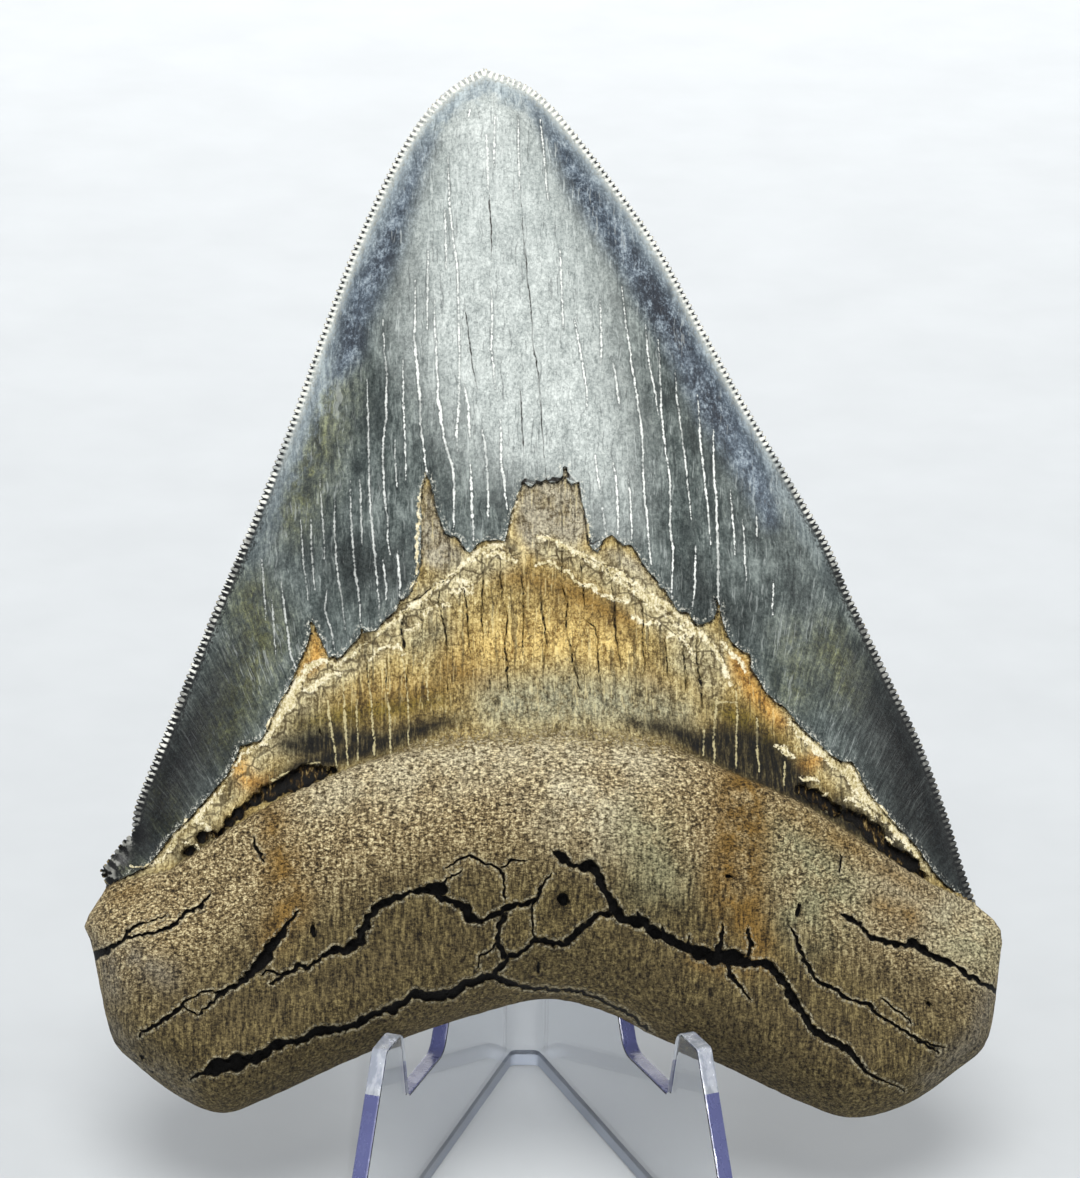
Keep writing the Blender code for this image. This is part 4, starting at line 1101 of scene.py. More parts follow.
def lingual_relief(flat, layers):
    """What the fine features add to the height of the viewer's face."""
    enamel = step(layers["enamel"])
    relief = ENAMEL_THICKNESS * enamel * ramp(blade(flat), 0.0, BEVEL_WIDTH)
    relief -= step(layers["crack"]) * (0.3 + 1.7 * np.minimum(layers["crack_half"], 0.9))
    relief -= step(layers["pit"]) * (0.4 + 1.6 * layers["pit_half"])
    relief -= 1.1 * step(layers["hole"])
    for name, (height, border) in FINE_RELIEF.items():
        relief += height * ramp(layers[name], *border)
    relief -= 0.12 * layers["notch"] * (1.0 - ramp(layers["edge"], 0.3, 1.2))
    relief -= 0.07 * np.exp(-(((layers["edge"] - 1.9) / 0.35) ** 2)) * enamel
    root = ramp(layers["root"], -0.3, 0.6) * (1.0 - enamel)
    relief += root * rippled(flat, "root")
    relief += (1.0 - root) * (1.0 - enamel) * rippled(flat, "bourlette")
    return relief + enamel * rippled(flat, "enamel")


def labial_layers(flat, lines):
    """The same for the back face, which has a few of them."""
    layers = {}
    layers["crack"], layers["crack_half"] = reach(flat, lines["back_crack"])
    height = flat[:, 1] - np.interp(flat[:, 0], *lines["back_enamel"].T)
    layers["enamel"] = np.clip(height, -6.0, 6.0)
    layers["root"] = np.clip(0.6 - height, -8.0, 8.0)
    layers["edge"], layers["notch"] = edge_layers(flat)
    # As on the front: silver partly painted sheen, root's pale band and dark foot partly painted
    # light and shade, murk partly painted shade.
    layers["silver_and_sheen"] = 0.5 * ramp(flat[:, 1], 60.0, 120.0) * np.exp(-((flat[:, 0] / 22.0) ** 2))
    layers["vein"] = reach(flat, lines["back_vein"])[0]
    layers["root_pale_and_lit"] = ramp(-np.abs(height + 3.0), -5.0, 0.0)
    layers["root_dark_and_shaded"] = ramp(-height, 8.0, 22.0)
    layers["murk_and_shade"] = ramp(-height, -26.0, -2.0) * 0.6
    return layers


def labial_relief(flat, layers):
    """What the fine features add to the depth of the back face."""
    enamel = step(layers["enamel"])
    relief = ENAMEL_THICKNESS * enamel * ramp(blade(flat), 0.0, BEVEL_WIDTH)
    relief -= step(layers["crack"]) * (0.3 + 1.7 * np.minimum(layers["crack_half"], 0.9))
    relief -= 0.12 * layers["notch"] * (1.0 - ramp(layers["edge"], 0.3, 1.2))
    relief += (1.0 - enamel) * rippled(flat, "back_root")
    return relief + enamel * rippled(flat, "back_enamel")


def make_back_lines():
    """The back face's broken enamel line, its cracks and its veins, in the face frame."""
    line = equal_steps(np.array(LABIAL_ROOT_TOP), 0.6)
    line[:, 1] += 0.9 * wander(line, 0.35, 21.0) + 0.35 * wander(line, 1.2, 22.0)
    cracks = []
    for k, route in enumerate(BACK_CRACKS):
        crack = equal_steps(np.array(route, float), STROKE_SPACING * 1.5)
        crack[:, :2] += normals(crack) * (0.5 * wander(crack, 0.6, 30.0 + k))[:, None]
        crack[:, 2] *= 1.0 + 0.4 * wander(crack, 1.5, 40.0 + k)
        cracks.append(crack)
    veins = []
    for k, u in enumerate(np.linspace(-26.0, 22.0, BACK_VEINS)):
        low = 44.0 + 10.0 * noise.noise(Vector((k, 1.7, 0.0))) + 0.4 * abs(u)
        high = 118.0 - 2.1 * abs(u + 4.0) + 12.0 * noise.noise(Vector((k, 5.7, 0.0)))
        vein = equal_steps(np.array([(u, low, 0.1), (0.8 * u - 1.2, high, 0.04)]), 1.0)
        vein[:, 0] += 0.5 * wander(vein, 0.15, 50.0 + k)
        veins.append(vein)
    return {"back_enamel": line, "back_crack": cracks, "back_vein": veins}


# ---------------------------------------------------------------------------------------------
# The tooth's mesh.
LAYERS = [
    "enamel", "root", "edge", "notch", "crack", "pit", "hole", "split", "seam", "flake", "crust",
    "vein", "dark_vein_and_shade", *STAINS,
]
# What a face has of a layer that isn't on it: no stain, and far outside any stroke.
NONE = {"edge": 9.0, "notch": 0.0, **{name: 0.0 for name in STAINS}}
OUTSIDE = -STROKE_FAR
# The back's patterns are taken from elsewhere, so that they don't mirror the viewer's face.
MIRRORED = (-1.0, 1.0)
BACK_PLACE = (400.0, 300.0)
BACK_FIBRES = (300.0, 300.0)
# The baking map: the back's chart is half as large and beside the tip, the band's is a strip.
BACK_CHART = (72.0, 66.5)
BACK_CHART_SCALE = 0.5
BAND_CHART_WIDTH = 0.4
CHART_MARGIN = 0.01
TOOTH_SHARP = math.radians(60.0)


def add_attribute(mesh, name, vectors):
    """Three numbers for each point of the mesh."""
    attribute = mesh.attributes.new(name, "FLOAT_VECTOR", "POINT")
    attribute.data.foreach_set("vector", vectors.astype(np.float32).ravel())


def add_layers(mesh, faces):
    """Both faces' layers, three to an attribute."""
    table = np.hstack([
        [layers.get(name, np.full(count, NONE.get(name, OUTSIDE))) for name in LAYERS]
        for layers, count in faces
    ])
    table = np.vstack([table, np.zeros((-len(LAYERS) % 3, table.shape[1]))])
    for pack, rows in enumerate(table.reshape(-1, 3, table.shape[1])):
        add_attribute(mesh, f"layers_{pack}", rows.T)


def add_places(mesh, front, back, depths):
    """Where each point is for the patterns: in the face frame, and along the enamel's fibres."""
    flat = np.vstack([front, back * MIRRORED + BACK_PLACE])
    add_attribute(mesh, "place", np.column_stack([flat, depths]))
    fibres = np.vstack([fibre_place(front), fibre_place(back) + BACK_FIBRES])
    add_attribute(mesh, "fibre", np.column_stack([fibres, np.zeros(len(fibres))]))


def add_bake_map(mesh, charts, loops):
    """A flat map for baking, from the charts' points and the one that each corner takes."""
    points = np.vstack(charts)
    low, high = points.min(0), points.max(0)
    places = (points[loops] - low) / (high - low).max() * (1.0 - 2.0 * CHART_MARGIN)
    layer = mesh.uv_layers.new(name="OFBake")
    layer.uv.foreach_set("vector", (places + CHART_MARGIN).astype(np.float32).ravel())


def make_tooth():
    """Both faces over the one outline, joined along it into one closed surface."""
    lines = {**make_lines(), **make_back_lines()}
    outline, outward = tooth_outline()
    front, front_faces, front_rim = lingual_mesh(outline, lines)
    back, back_faces, back_rim = labial_mesh(outline, lines)
    front_layers, back_layers = lingual_layers(front, lines), labial_layers(back, lines)
    front_depth = lingual_form(front, lingual_relief(front, front_layers))
    back_depth = labial_form(back, labial_relief(back, back_layers))

    a, b = np.array(front_rim), np.array(back_rim) + len(front)
    band = np.column_stack([np.roll(a, 1), a, b, np.roll(b, 1)])
    strip = np.vstack([band[:, [0, 1, 2]], band[:, [0, 2, 3]]])
    faces = np.vstack([np.array(front_faces), np.array(back_faces)[:, ::-1] + len(front)])
    verts = np.vstack([in_world(front, front_depth), in_world(back, back_depth)])
    mesh = bpy.data.meshes.new("tooth_surface")
    mesh.from_pydata(verts.tolist(), [], np.vstack([faces, strip]).tolist())

    add_layers(mesh, ((front_layers, len(front)), (back_layers, len(back))))
    add_places(mesh, front, back, np.concatenate([front_depth, back_depth]))
    far_side = front[front_rim] + BAND_CHART_WIDTH * outward
    charts = [front, BACK_CHART_SCALE * back * MIRRORED + BACK_CHART, far_side]
    chart_point = np.arange(len(verts))
    chart_point[b] = len(verts) + np.arange(len(b))
    add_bake_map(mesh, charts, np.vstack([faces, chart_point[strip]]).ravel())
    mesh.shade_smooth()
    mesh.set_sharp_from_angle(angle=TOOTH_SHARP)
    tooth = bpy.data.objects.new("tooth_surface", mesh)
    bpy.context.scene.collection.objects.link(tooth)
    mesh.materials.append(tooth_material())
    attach(tooth, "root")
    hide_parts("tooth")


# ---------------------------------------------------------------------------------------------
# Materials.  A colour ramp is (place on the pattern, colour) for each of its stops.
SLATE = ((0.38, "#1e2524"), (0.47, "#3f4745"), (0.54, "#5c6461"), (0.64, "#868e87"))
PALE_SLATE = ((0.4, "#5f6966"), (0.6, "#a3aba6"))
OLIVE = ((0.42, "#23210f"), (0.52, "#57572c"), (0.6, "#8b8c4c"))
SILVER_AND_SHEEN = ((0.4, "#8c9390"), (0.5, "#b6bcb8"), (0.6, "#dadfda"))
FROST = ((0.42, "#77838a"), (0.5, "#9ba6ab"), (0.58, "#bcc7ca"))
BLUE = ((0.42, "#2b333d"), (0.49, "#4c5762"), (0.54, "#6f7b86"), (0.61, "#a3aeb5"))
PALE_RIM = ((0.38, "#8d9088"), (0.5, "#bfc2bc"), (0.62, "#e6e6de"))
DENTINE = ((0.4, "#483819"), (0.47, "#8c7745"), (0.54, "#bfa86c"), (0.62, "#f3e6b2"))
DARK_ABOVE_ROOT = ((0.42, "#020201"), (0.55, "#151106"), (0.66, "#3d350f"))
FLAKES = ((0.4, "#7d6d46"), (0.47, "#c8b988"), (0.56, "#f4eacb"))
UPPER_ROOT = ((0.4, "#231b0f"), (0.47, "#68573a"), (0.53, "#a38f67"), (0.6, "#eadbae"))
# The lower root's ramp is darker, partly as painted shade.
SHADED_LOWER_ROOT = ((0.39, "#161108"), (0.46, "#3f351f"), (0.53, "#635636"), (0.62, "#9a8a5c"))
CRUMBS = ((0.36, "#8d8062"), (0.48, "#d9cba0"), (0.6, "#f3ebcf"))
HOLLOW = ((0.54, "#060402"), (0.62, "#43310f"), (0.69, "#a08a5a"))
STUDIO_FLOOR = ((0.3, "#b5b8ba"), (0.7, "#babdbf"))

# Each stain's darkest and lightest colour.
BOURLETTE_STAINS = {
    "golden": ("#7a5920", "#fbdc8c"), "ochre": ("#402b08", "#9f772d"),
    "ashen": ("#39382a", "#c6c09c"), "granular": ("#464034", "#d2c8ac"),
    "cream": ("#6a5c3a", "#ecdfb1"), "orange": ("#77490f", "#ecb456"),
    "moss": ("#1d1804", "#8b7830"),
}
# The root's paler top and darker lower part are partly painted light and shade.
ROOT_STAINS = {
    "root_dark_and_shaded": ("#171108", "#6f6141"), "root_pale_and_lit": ("#514429", "#f1e6c2"),
    "root_green": ("#34321f", "#b4b18a"), "root_ochre": ("#2b1e08", "#98763a"),
    "root_grey": ("#26231e", "#958d7b"),
}
ACRYLIC_IOR = 1.49


def tint(code):
    """A colour from its usual six-digit code, made linear."""
    channels = [int(code[k : k + 2], 16) / 255 for k in (1, 3, 5)]
    return (*[c / 12.92 if c <= 0.04045 else ((c + 0.055) / 1.055) ** 2.4 for c in channels], 1.0)


class Nodes:
    """Shorthands for building one material's node tree."""

    def __init__(self, name):
        self.material = bpy.data.materials.new(name)
        self.material.use_nodes = True
        self.tree = self.material.node_tree
        self.shader = self.tree.nodes["Principled BSDF"]

    def add(self, kind, inputs=None, **settings):
        """A node with these settings, and these inputs by number or by name."""
        node = self.tree.nodes.new(kind)
        for key, value in settings.items():
            setattr(node, key, value)
        for key, value in (inputs or {}).items():
            self.put(node.inputs[key], value)
        return node

    def put(self, socket, value):
        """Link another node's output to a socket, or give it a colour code or a plain value."""
        if isinstance(value, bpy.types.NodeSocket):
            self.tree.links.new(value, socket)
        elif isinstance(value, str):
            socket.default_value = tint(value)
        else:
            socket.default_value = value

    def finish(self, **sockets):
        """The material, with these sockets of its shader set."""
        for key, value in sockets.items():
            self.put(self.shader.inputs[key.replace("_", " ")], value)
        return self.material

    def vector(self, name):
        return self.add("ShaderNodeAttribute", attribute_name=name).outputs["Vector"]

    def split(self, vector):
        return self.add("ShaderNodeSeparateXYZ", {0: vector}).outputs

    def number(self, name):
        """One of the tooth's layers, which are kept three to an attribute."""
        pack, channel = divmod(LAYERS.index(name), 3)
        return self.split(self.vector(f"layers_{pack}"))[channel]

    def math(self, operation, a, b=0.0):
        return self.add("ShaderNodeMath", {0: a, 1: b}, operation=operation).outputs[0]

    def times(self, a, b):
        return self.math("MULTIPLY", a, b)

    def plus(self, a, b):
        return self.math("ADD", a, b)

    def ramp(self, value, start, end, low=0.0, high=1.0):
        """A smooth rise from low to high, as the value goes from start to end."""
        inputs = {"Value": value, "From Min": start, "From Max": end, "To Min": low, "To Max": high}
        node = self.add("ShaderNodeMapRange", inputs, interpolation_type="SMOOTHSTEP")
        return node.outputs["Result"]

    def scaled(self, place, scale):
        inputs = {"Vector": place, "Scale": scale}
        return self.add("ShaderNodeMapping", inputs, vector_type="POINT").outputs["Vector"]

    def noise(self, place, scale=(1.0, 1.0, 1.0), detail=3.0, roughness=0.6):
        inputs = {"Vector": self.scaled(place, scale), "Scale": 1.0, "Detail": detail}
        inputs["Roughness"] = roughness
        return self.add("ShaderNodeTexNoise", inputs).outputs["Fac"]

    def ridges(self, place, scale, width):
        """Thin curling lines, 1 on them, where a noise passes its middle value."""
        middle = self.math("SUBTRACT", self.noise(place, scale, 2.0, 0.6), 0.5)
        return self.ramp(self.math("ABSOLUTE", middle), width, 0.2 * width)

    def warped(self, place, amount, scale):
        """The same place, pushed about by noise, so that a pattern laid on it isn't regular."""
        inputs = {"Vector": place, "Scale": scale, "Detail": 2.0}
        push = self.add("ShaderNodeTexNoise", inputs).outputs["Color"]
        terms = {0: push, 1: (amount,) * 3, 2: place}
        return self.add("ShaderNodeVectorMath", terms, operation="MULTIPLY_ADD").outputs["Vector"]

    def grains(self, place, scale, feature):
        """Distance to the nearest grain's middle, or to the border between two of them."""
        inputs = {"Vector": self.scaled(place, scale), "Scale": 1.0}
        return self.add("ShaderNodeTexVoronoi", inputs, feature=feature).outputs["Distance"]

    def mix(self, factor, a, b):
        """A colour between two colours."""
        inputs = {"Factor": factor, 6: a, 7: b}
        return self.add("ShaderNodeMix", inputs, data_type="RGBA").outputs[2]

    def blend(self, factor, a, b):
        """A number between two numbers."""
        inputs = {"Factor": factor, 2: a, 3: b}
        return self.add("ShaderNodeMix", inputs, data_type="FLOAT").outputs[0]

    def blend3(self, a, share_a, b, share_b, c, share_c):
        """Three patterns added up, each with its own share."""
        first = self.plus(self.times(a, share_a), self.times(b, share_b))
        return self.plus(first, self.times(c, share_c))

    def shades(self, value, stops):
        """A colour ramp."""
        node = self.add("ShaderNodeValToRGB", {"Fac": value})
        elements = node.color_ramp.elements
        while len(elements) < len(stops):
            elements.new(0.5)
        for element, (place, code) in zip(elements, stops):
            element.position = place
            element.color = tint(code)
        return node.outputs["Color"]

    def stained(self, colour, stains, texture, span, patches):
        """The colour under each of these stains, whose own shades span this much of the texture."""
        for name, (dark, light) in stains.items():
            shades = self.shades(texture, tuple(zip(span, (dark, light))))
            colour = self.mix(self.times(self.number(name), patches), colour, shades)
        return colour


def enamel_colour(n, place, fibre, across, height):
    """Slate with fine fibres and crackle, silver and painted sheen up the middle, blue bands with
    painted dark reflection, a pale rim.
    """
    bent = n.warped(fibre, 1.1, 0.35)
    fine = n.noise(bent, (2.8, 0.2, 1.0), 3.0)
    hair = n.noise(bent, (3.6, 0.16, 3.0), 2.0)
    speck = n.noise(place, (2.8, 2.3, 2.4), 3.0, 0.8)
    smear = n.noise(bent, (0.8, 0.3, 1.0), 5.0, 0.8)
    cloud = n.noise(place, (0.2, 0.13, 0.2), 4.0, 0.65)
    blotch = n.noise(place, (0.55, 0.4, 0.5), 5.0, 0.75)
    crackle = n.ridges(place, (1.15, 0.95, 1.0), 0.028)
    tone = n.blend3(fine, 0.25, smear, 0.4, speck, 0.35)
    silver_and_sheen, murk_and_shade, edge, notch = (n.number(name) for name in ("silver_and_sheen", "murk_and_shade", "edge", "notch"))
    upper = n.ramp(height, 66.0, 100.0)

    # Slate, lighter and darker in clouds and blotches, with its stains, and painted shade low on
    # its sides.
    colour = n.shades(tone, SLATE)
    pale = n.shades(tone, PALE_SLATE)
    colour = n.mix(n.ramp(cloud, 0.5, 0.66, 0.0, 0.5), colour, pale)
    colour = n.mix(n.ramp(blotch, 0.52, 0.64, 0.0, 0.3), colour, pale)
    colour = n.mix(n.ramp(cloud, 0.5, 0.34, 0.0, 0.4), colour, "#191e1e")
    colour = n.mix(n.ramp(blotch, 0.47, 0.38, 0.0, 0.35), colour, "#1d2424")
    olive = n.times(n.number("olive"), n.ramp(blotch, 0.38, 0.55, 0.35, 1.0))
    colour = n.mix(olive, colour, n.shades(tone, OLIVE))
    # Painted shade, with some of the slate's own darkness, low on the sides.
    colour = n.mix(n.times(murk_and_shade, n.ramp(tone, 0.45, 0.62, 1.0, 0.9)), colour, "#050606")

    # The silver middle, partly its own colour and partly a painted sheen, a little duller below the
    # tip.
    bright = n.blend3(speck, 0.45, smear, 0.35, blotch, 0.2)
    colour = n.mix(silver_and_sheen, colour, n.shades(bright, SILVER_AND_SHEEN))
    duller = n.ramp(height, 98.0, 112.0, 0.0, 0.22)
    duller = n.math("MINIMUM", duller, n.ramp(height, 128.0, 116.0, 0.0, 0.22))
    colour = n.mix(n.times(silver_and_sheen, duller), colour, "#8f9896")
    colour = n.mix(n.times(crackle, n.ramp(silver_and_sheen, 0.0, 1.0, 0.2, 0.36)), colour, "#4d5555")

    # Frosted margins, and the blue bands inside them, partly their own colour and partly a painted
    # dark reflection.
    margin = n.plus(edge, n.ramp(blotch, 0.4, 0.6, -0.6, 0.6))
    frost = n.times(n.ramp(margin, 4.2, 2.0), n.ramp(height, 62.0, 92.0, 0.0, 0.8))
    colour = n.mix(frost, colour, n.shades(tone, FROST))
    smudge = n.blend3(blotch, 0.4, speck, 0.35, smear, 0.25)
    colour = n.mix(n.number("band"), colour, n.shades(smudge, BLUE))
    band_dark_patches = n.times(n.number("band_dark_patches"), n.ramp(smudge, 0.56, 0.46, 0.1, 0.9))
    colour = n.mix(band_dark_patches, colour, "#171c26")

    # Fine pale and dark fibres.
    thin = n.times(n.ramp(hair, 0.585, 0.66), n.ramp(cloud, 0.42, 0.56))
    thin = n.times(thin, n.ramp(murk_and_shade, 0.2, 0.9, 1.0, 0.3))
    colour = n.mix(n.times(thin, n.ramp(silver_and_sheen, 0.0, 0.8, 0.22, 0.5)), colour, "#d5dad6")
    colour = n.mix(n.ramp(hair, 0.40, 0.33, 0.0, 0.4), colour, "#1b2124")

    # The cutting edge: a pale rim above, a black one below, painted shade in the notches and
    # painted highlights on the points.
    ragged = n.plus(edge, n.ramp(speck, 0.3, 0.7, -0.5, 0.5))
    rim = n.times(n.ramp(ragged, 1.8, 0.8), n.ramp(upper, 0.0, 1.0, 0.1, 0.9))
    colour = n.mix(rim, colour, n.shades(speck, PALE_RIM))
    border = n.times(n.ramp(ragged, 1.7, 1.1), n.ramp(upper, 0.0, 0.6, 0.85, 0.0))
    colour = n.mix(border, colour, "#07090a")
    # Painted shade in the notches between serrations, less towards the worn tip.
    notch_shade_ends = n.ramp(upper, 0.0, 1.0, 1.6, 0.8)
    notch_shade = n.times(n.ramp(notch, 0.45, 0.65), n.ramp(edge, notch_shade_ends, 0.5))
    notch_shade = n.times(notch_shade, n.ramp(height, *WORN_TIP[0], 1.0, 0.2))
    colour = n.mix(notch_shade, colour, "#040506")
    # Painted highlights on the serrations' points, brighter higher up.
    uneven = n.plus(notch, n.ramp(blotch, 0.38, 0.62, -0.22, 0.22))
    point = n.times(n.ramp(uneven, 0.5, 0.3), n.ramp(edge, 1.15, 0.8))
    patchy = n.ramp(n.noise(place, (0.35, 0.35, 0.3)), 0.4, 0.56, 0.3, 1.0)
    patchy = n.times(patchy, n.ramp(height, 34.0, 48.0, 0.3, 1.0))
    patchy = n.times(patchy, n.ramp(across, 26.0, 46.0, 1.0, 0.3))
    lit = n.math("MAXIMUM", n.ramp(upper, 0.3, 0.9, 0.0, 0.95), patchy)
    colour = n.mix(n.times(point, lit), colour, "#ecebe1")

    # Chips along the broken lower edge, then the veins and the painted shadow along the notch's
    # broken edge.
    chips = n.times(n.ramp(n.number("enamel"), 0.9, 0.2), n.ramp(speck, 0.54, 0.6, 0.0, 0.85))
    colour = n.mix(n.times(chips, n.ramp(edge, 1.0, 2.0)), colour, "#dad8ca")
    faint = n.ramp(n.noise(fibre, (0.5, 0.2, 1.0), 5.0, 0.75), 0.36, 0.56, 0.4, 1.0)
    vein = n.plus(n.number("vein"), n.ramp(speck, 0.3, 0.7, -0.1, 0.1))
    colour = n.mix(n.times(n.ramp(vein, -0.26, -0.14), n.times(faint, 0.4)), colour, "#22282a")
    faint = n.times(faint, n.ramp(across, -26.0, -14.0, 0.55, 1.0))
    colour = n.mix(n.times(n.ramp(vein, -0.09, 0.03), faint), colour, "#eff1eb")
    dark = n.plus(n.number("dark_vein_and_shade"), n.ramp(speck, 0.3, 0.7, -0.06, 0.06))
    return n.mix(n.times(n.ramp(dark, -0.06, 0.02), faint), colour, "#1c1a17")


def bourlette_colour(n, place):
    """Flaky golden-brown dentine with upright cracks, pale seams and chevron flakes."""
    grain = n.noise(place, (2.9, 2.5, 2.5), 3.0, 0.8)
    streak = n.noise(place, (2.6, 0.22, 1.0), 3.0, 0.75)
    hair = n.noise(n.warped(place, 0.6, 0.5), (1.5, 0.06, 1.0), 1.0)
    blotch = n.noise(place, (0.55, 0.45, 0.5), 4.0, 0.7)
    texture = n.blend3(grain, 0.45, streak, 0.25, blotch, 0.3)
    ragged = n.ramp(grain, 0.36, 0.64, -0.15, 0.15)
    half_ragged = n.times(ragged, 0.5)

    colour = n.shades(texture, DENTINE)
    patches = n.ramp(blotch, 0.35, 0.55, 0.7, 1.0)
    colour = n.stained(colour, BOURLETTE_STAINS, texture, (0.42, 0.6), patches)
    colour = n.mix(n.times(n.ridges(place, (0.9, 0.6, 1.0), 0.028), 0.65), colour, "#453517")
    colour = n.mix(n.ramp(streak, 0.56, 0.68, 0.0, 0.5), colour, "#cdbd8a")

    # Dark lines between flakes where it is cream, dark hairs, and dark olive to black against the
    # root.
    borders = n.grains(n.warped(place, 1.6, 0.5), (0.42, 0.55, 0.5), "DISTANCE_TO_EDGE")
    flaking = n.times(n.ramp(borders, 0.09, 0.03), n.ramp(n.number("cream"), 0.3, 0.9, 0.0, 0.75))
    colour = n.mix(flaking, colour, "#3a2c13")
    colour = n.mix(n.ramp(hair, 0.365, 0.345, 0.0, 0.5), colour, "#1e1406")
    dark_above_root = n.times(n.number("dark_above_root"), n.ramp(streak, 0.45, 0.65, 1.0, 0.88))
    colour = n.mix(dark_above_root, colour, n.shades(texture, DARK_ABOVE_ROOT))

    # Strokes: pale seams, flakes and crusts, and dark splits.
    seam = n.ramp(n.plus(n.number("seam"), half_ragged), -0.05, 0.04)
    colour = n.mix(n.times(seam, n.ramp(blotch, 0.35, 0.5, 0.2, 0.68)), colour, "#d6c999")
    for name in ("flake", "crust"):
        cover = n.ramp(n.plus(n.number(name), ragged), -0.08, 0.08)
        colour = n.mix(cover, colour, n.shades(texture, FLAKES))
    beaded = n.ramp(n.noise(place, (1.4, 1.2, 1.0), 2.0), 0.4, 0.52, 0.35, 1.0)
    split = n.ramp(n.plus(n.number("split"), half_ragged), -0.07, 0.03)
    return n.mix(n.times(split, beaded), colour, "#0f0904")


def root_texture(n, place):
    """Pebbly grains below the root's top that turn into upright fibres lower down."""
    grain = n.noise(place, (2.1, 3.3, 2.4), 3.0, 0.85)
    nearest_grain = n.grains(n.warped(place, 1.2, 1.3), (1.7, 3.4, 2.2), "F1")
    pebbles = n.math("SUBTRACT", 1.0, nearest_grain)
    fibres = n.noise(place, (2.4, 0.36, 1.4), 3.0, 0.75)
    low = n.ramp(n.number("root"), 9.0, 20.0)
    upright = n.blend3(grain, 0.42, fibres, 0.5, pebbles, 0.08)
    return n.blend(low, n.blend3(pebbles, 0.16, grain, 0.62, fibres, 0.22), upright)


def root_colour(n, place, texture):
    """Tan bone with ochre, grey and olive stains over root_texture's pattern, paler on top and
    darker low down partly as painted light and shade.
    """
    blotch = n.noise(place, (0.25, 0.22, 0.22), 4.0, 0.65)
    fibrous = n.ramp(n.number("root"), 8.0, 20.0)
    # Fibrous and darker below the root's top; the darkness is partly painted shade.
    colour = n.mix(fibrous, n.shades(texture, UPPER_ROOT), n.shades(texture, SHADED_LOWER_ROOT))
    patches = n.ramp(blotch, 0.38, 0.56, 0.35, 1.0)
    colour = n.stained(colour, ROOT_STAINS, texture, (0.41, 0.59), patches)
    level = n.ridges(place, (0.75, 1.5, 1.0), 0.026)
    upright = n.ridges(place, (1.3, 0.45, 1.0), 0.022)
    return n.mix(n.times(n.blend(fibrous, level, upright), 0.5), colour, "#1d1509")


def tooth_material():
    """One material for the whole tooth: its layers say which part each point belongs to."""
    n = Nodes("fossil_tooth")
    place, fibre = n.vector("place"), n.vector("fibre")
    across, height = n.split(place)[:2]
    grain = n.noise(place, (2.6, 2.4, 2.4), 3.0, 0.8)
    texture = root_texture(n, place)
    wobble = n.ramp(grain, 0.36, 0.64, -1.0, 1.0)

    # Where it is enamel and where root; the root's top is soft in the middle, sharp at the sides.
    is_enamel = n.ramp(n.plus(n.number("enamel"), n.times(wobble, 0.08)), -0.03, 0.03)
    soft = n.ramp(n.math("ABSOLUTE", across), 12.0, 20.0, 1.0, 0.12)
    is_root = n.plus(n.number("root"), n.times(wobble, n.times(soft, 1.2)))
    is_root = n.ramp(is_root, n.times(soft, -1.0), soft)
    colour = n.mix(is_root, bourlette_colour(n, place), root_colour(n, place, texture))
    colour = n.mix(is_enamel, colour, enamel_colour(n, place, fibre, across, height))

    # Crumbs on the enamel's border, the shade under its lip, and a painted highlight on the cracks'
    # borders.
    crust = n.ramp(n.plus(n.number("crust"), n.times(wobble, 0.1)), -0.06, 0.04)
    crumbs = n.shades(n.noise(place, (1.3, 1.1, 1.0)), CRUMBS)
    colour = n.mix(n.times(crust, is_enamel), colour, crumbs)
    under_lip = n.ramp(n.number("enamel"), -0.36, -0.12)
    under_lip = n.times(under_lip, n.math("SUBTRACT", 1.0, is_enamel))
    broken = n.times(n.ramp(grain, 0.46, 0.58, 1.0, 0.1), n.ramp(n.noise(place), 0.38, 0.5))
    colour = n.mix(n.times(under_lip, broken), colour, "#0b0907")
    # Painted highlight just outside the cracks.
    pale = n.times(n.ramp(n.number("crack"), -0.5, -0.15), n.ramp(grain, 0.46, 0.6, 0.0, 0.5))
    colour = n.mix(pale, colour, "#d9cfae")

    # The insides of hollows, pits and cracks: near black, partly their own dark fill and partly
    # painted shade in their depth.
    hollow = n.shades(n.noise(place, (1.6, 0.5, 1.0), 3.0, 0.7), HOLLOW)
    for name, shade in (("hole", hollow), ("pit", "#060504"), ("crack", "#050403")):
        ragged = n.plus(n.number(name), n.times(wobble, 0.06))
        colour = n.mix(n.ramp(ragged, -0.08, 0.02), colour, shade)

    rough = n.plus(n.ramp(is_root, 0.0, 1.0, 0.55, 0.8), n.times(is_enamel, -0.24))
    rough = n.plus(rough, n.times(wobble, 0.07))
    fine = n.noise(fibre, (2.8, 0.10, 1.0), 2.0)
    enamel_bump = n.times(n.plus(fine, n.times(grain, 0.7)), 0.16)
    bone_bump = n.blend(is_root, n.times(grain, 0.8), n.times(texture, 1.5))
    inputs = {"Height": n.blend(is_enamel, bone_bump, enamel_bump), "Distance": 0.3 * MM}
    bump = n.add("ShaderNodeBump", {**inputs, "Strength": 1.0}).outputs["Normal"]
    return n.finish(Base_Color=colour, Roughness=rough, Normal=bump, Specular_IOR_Level=0.22)


# ---------------------------------------------------------------------------------------------
# The stand: one acrylic sheet, folded twice.
SHEET = 2.0
FOLD_POINT = (-1.21, 17.2)
SPINE_HALF = 1.0
FOLD_RADIUS = 1.0
WING_ANGLE = math.radians(20.3)
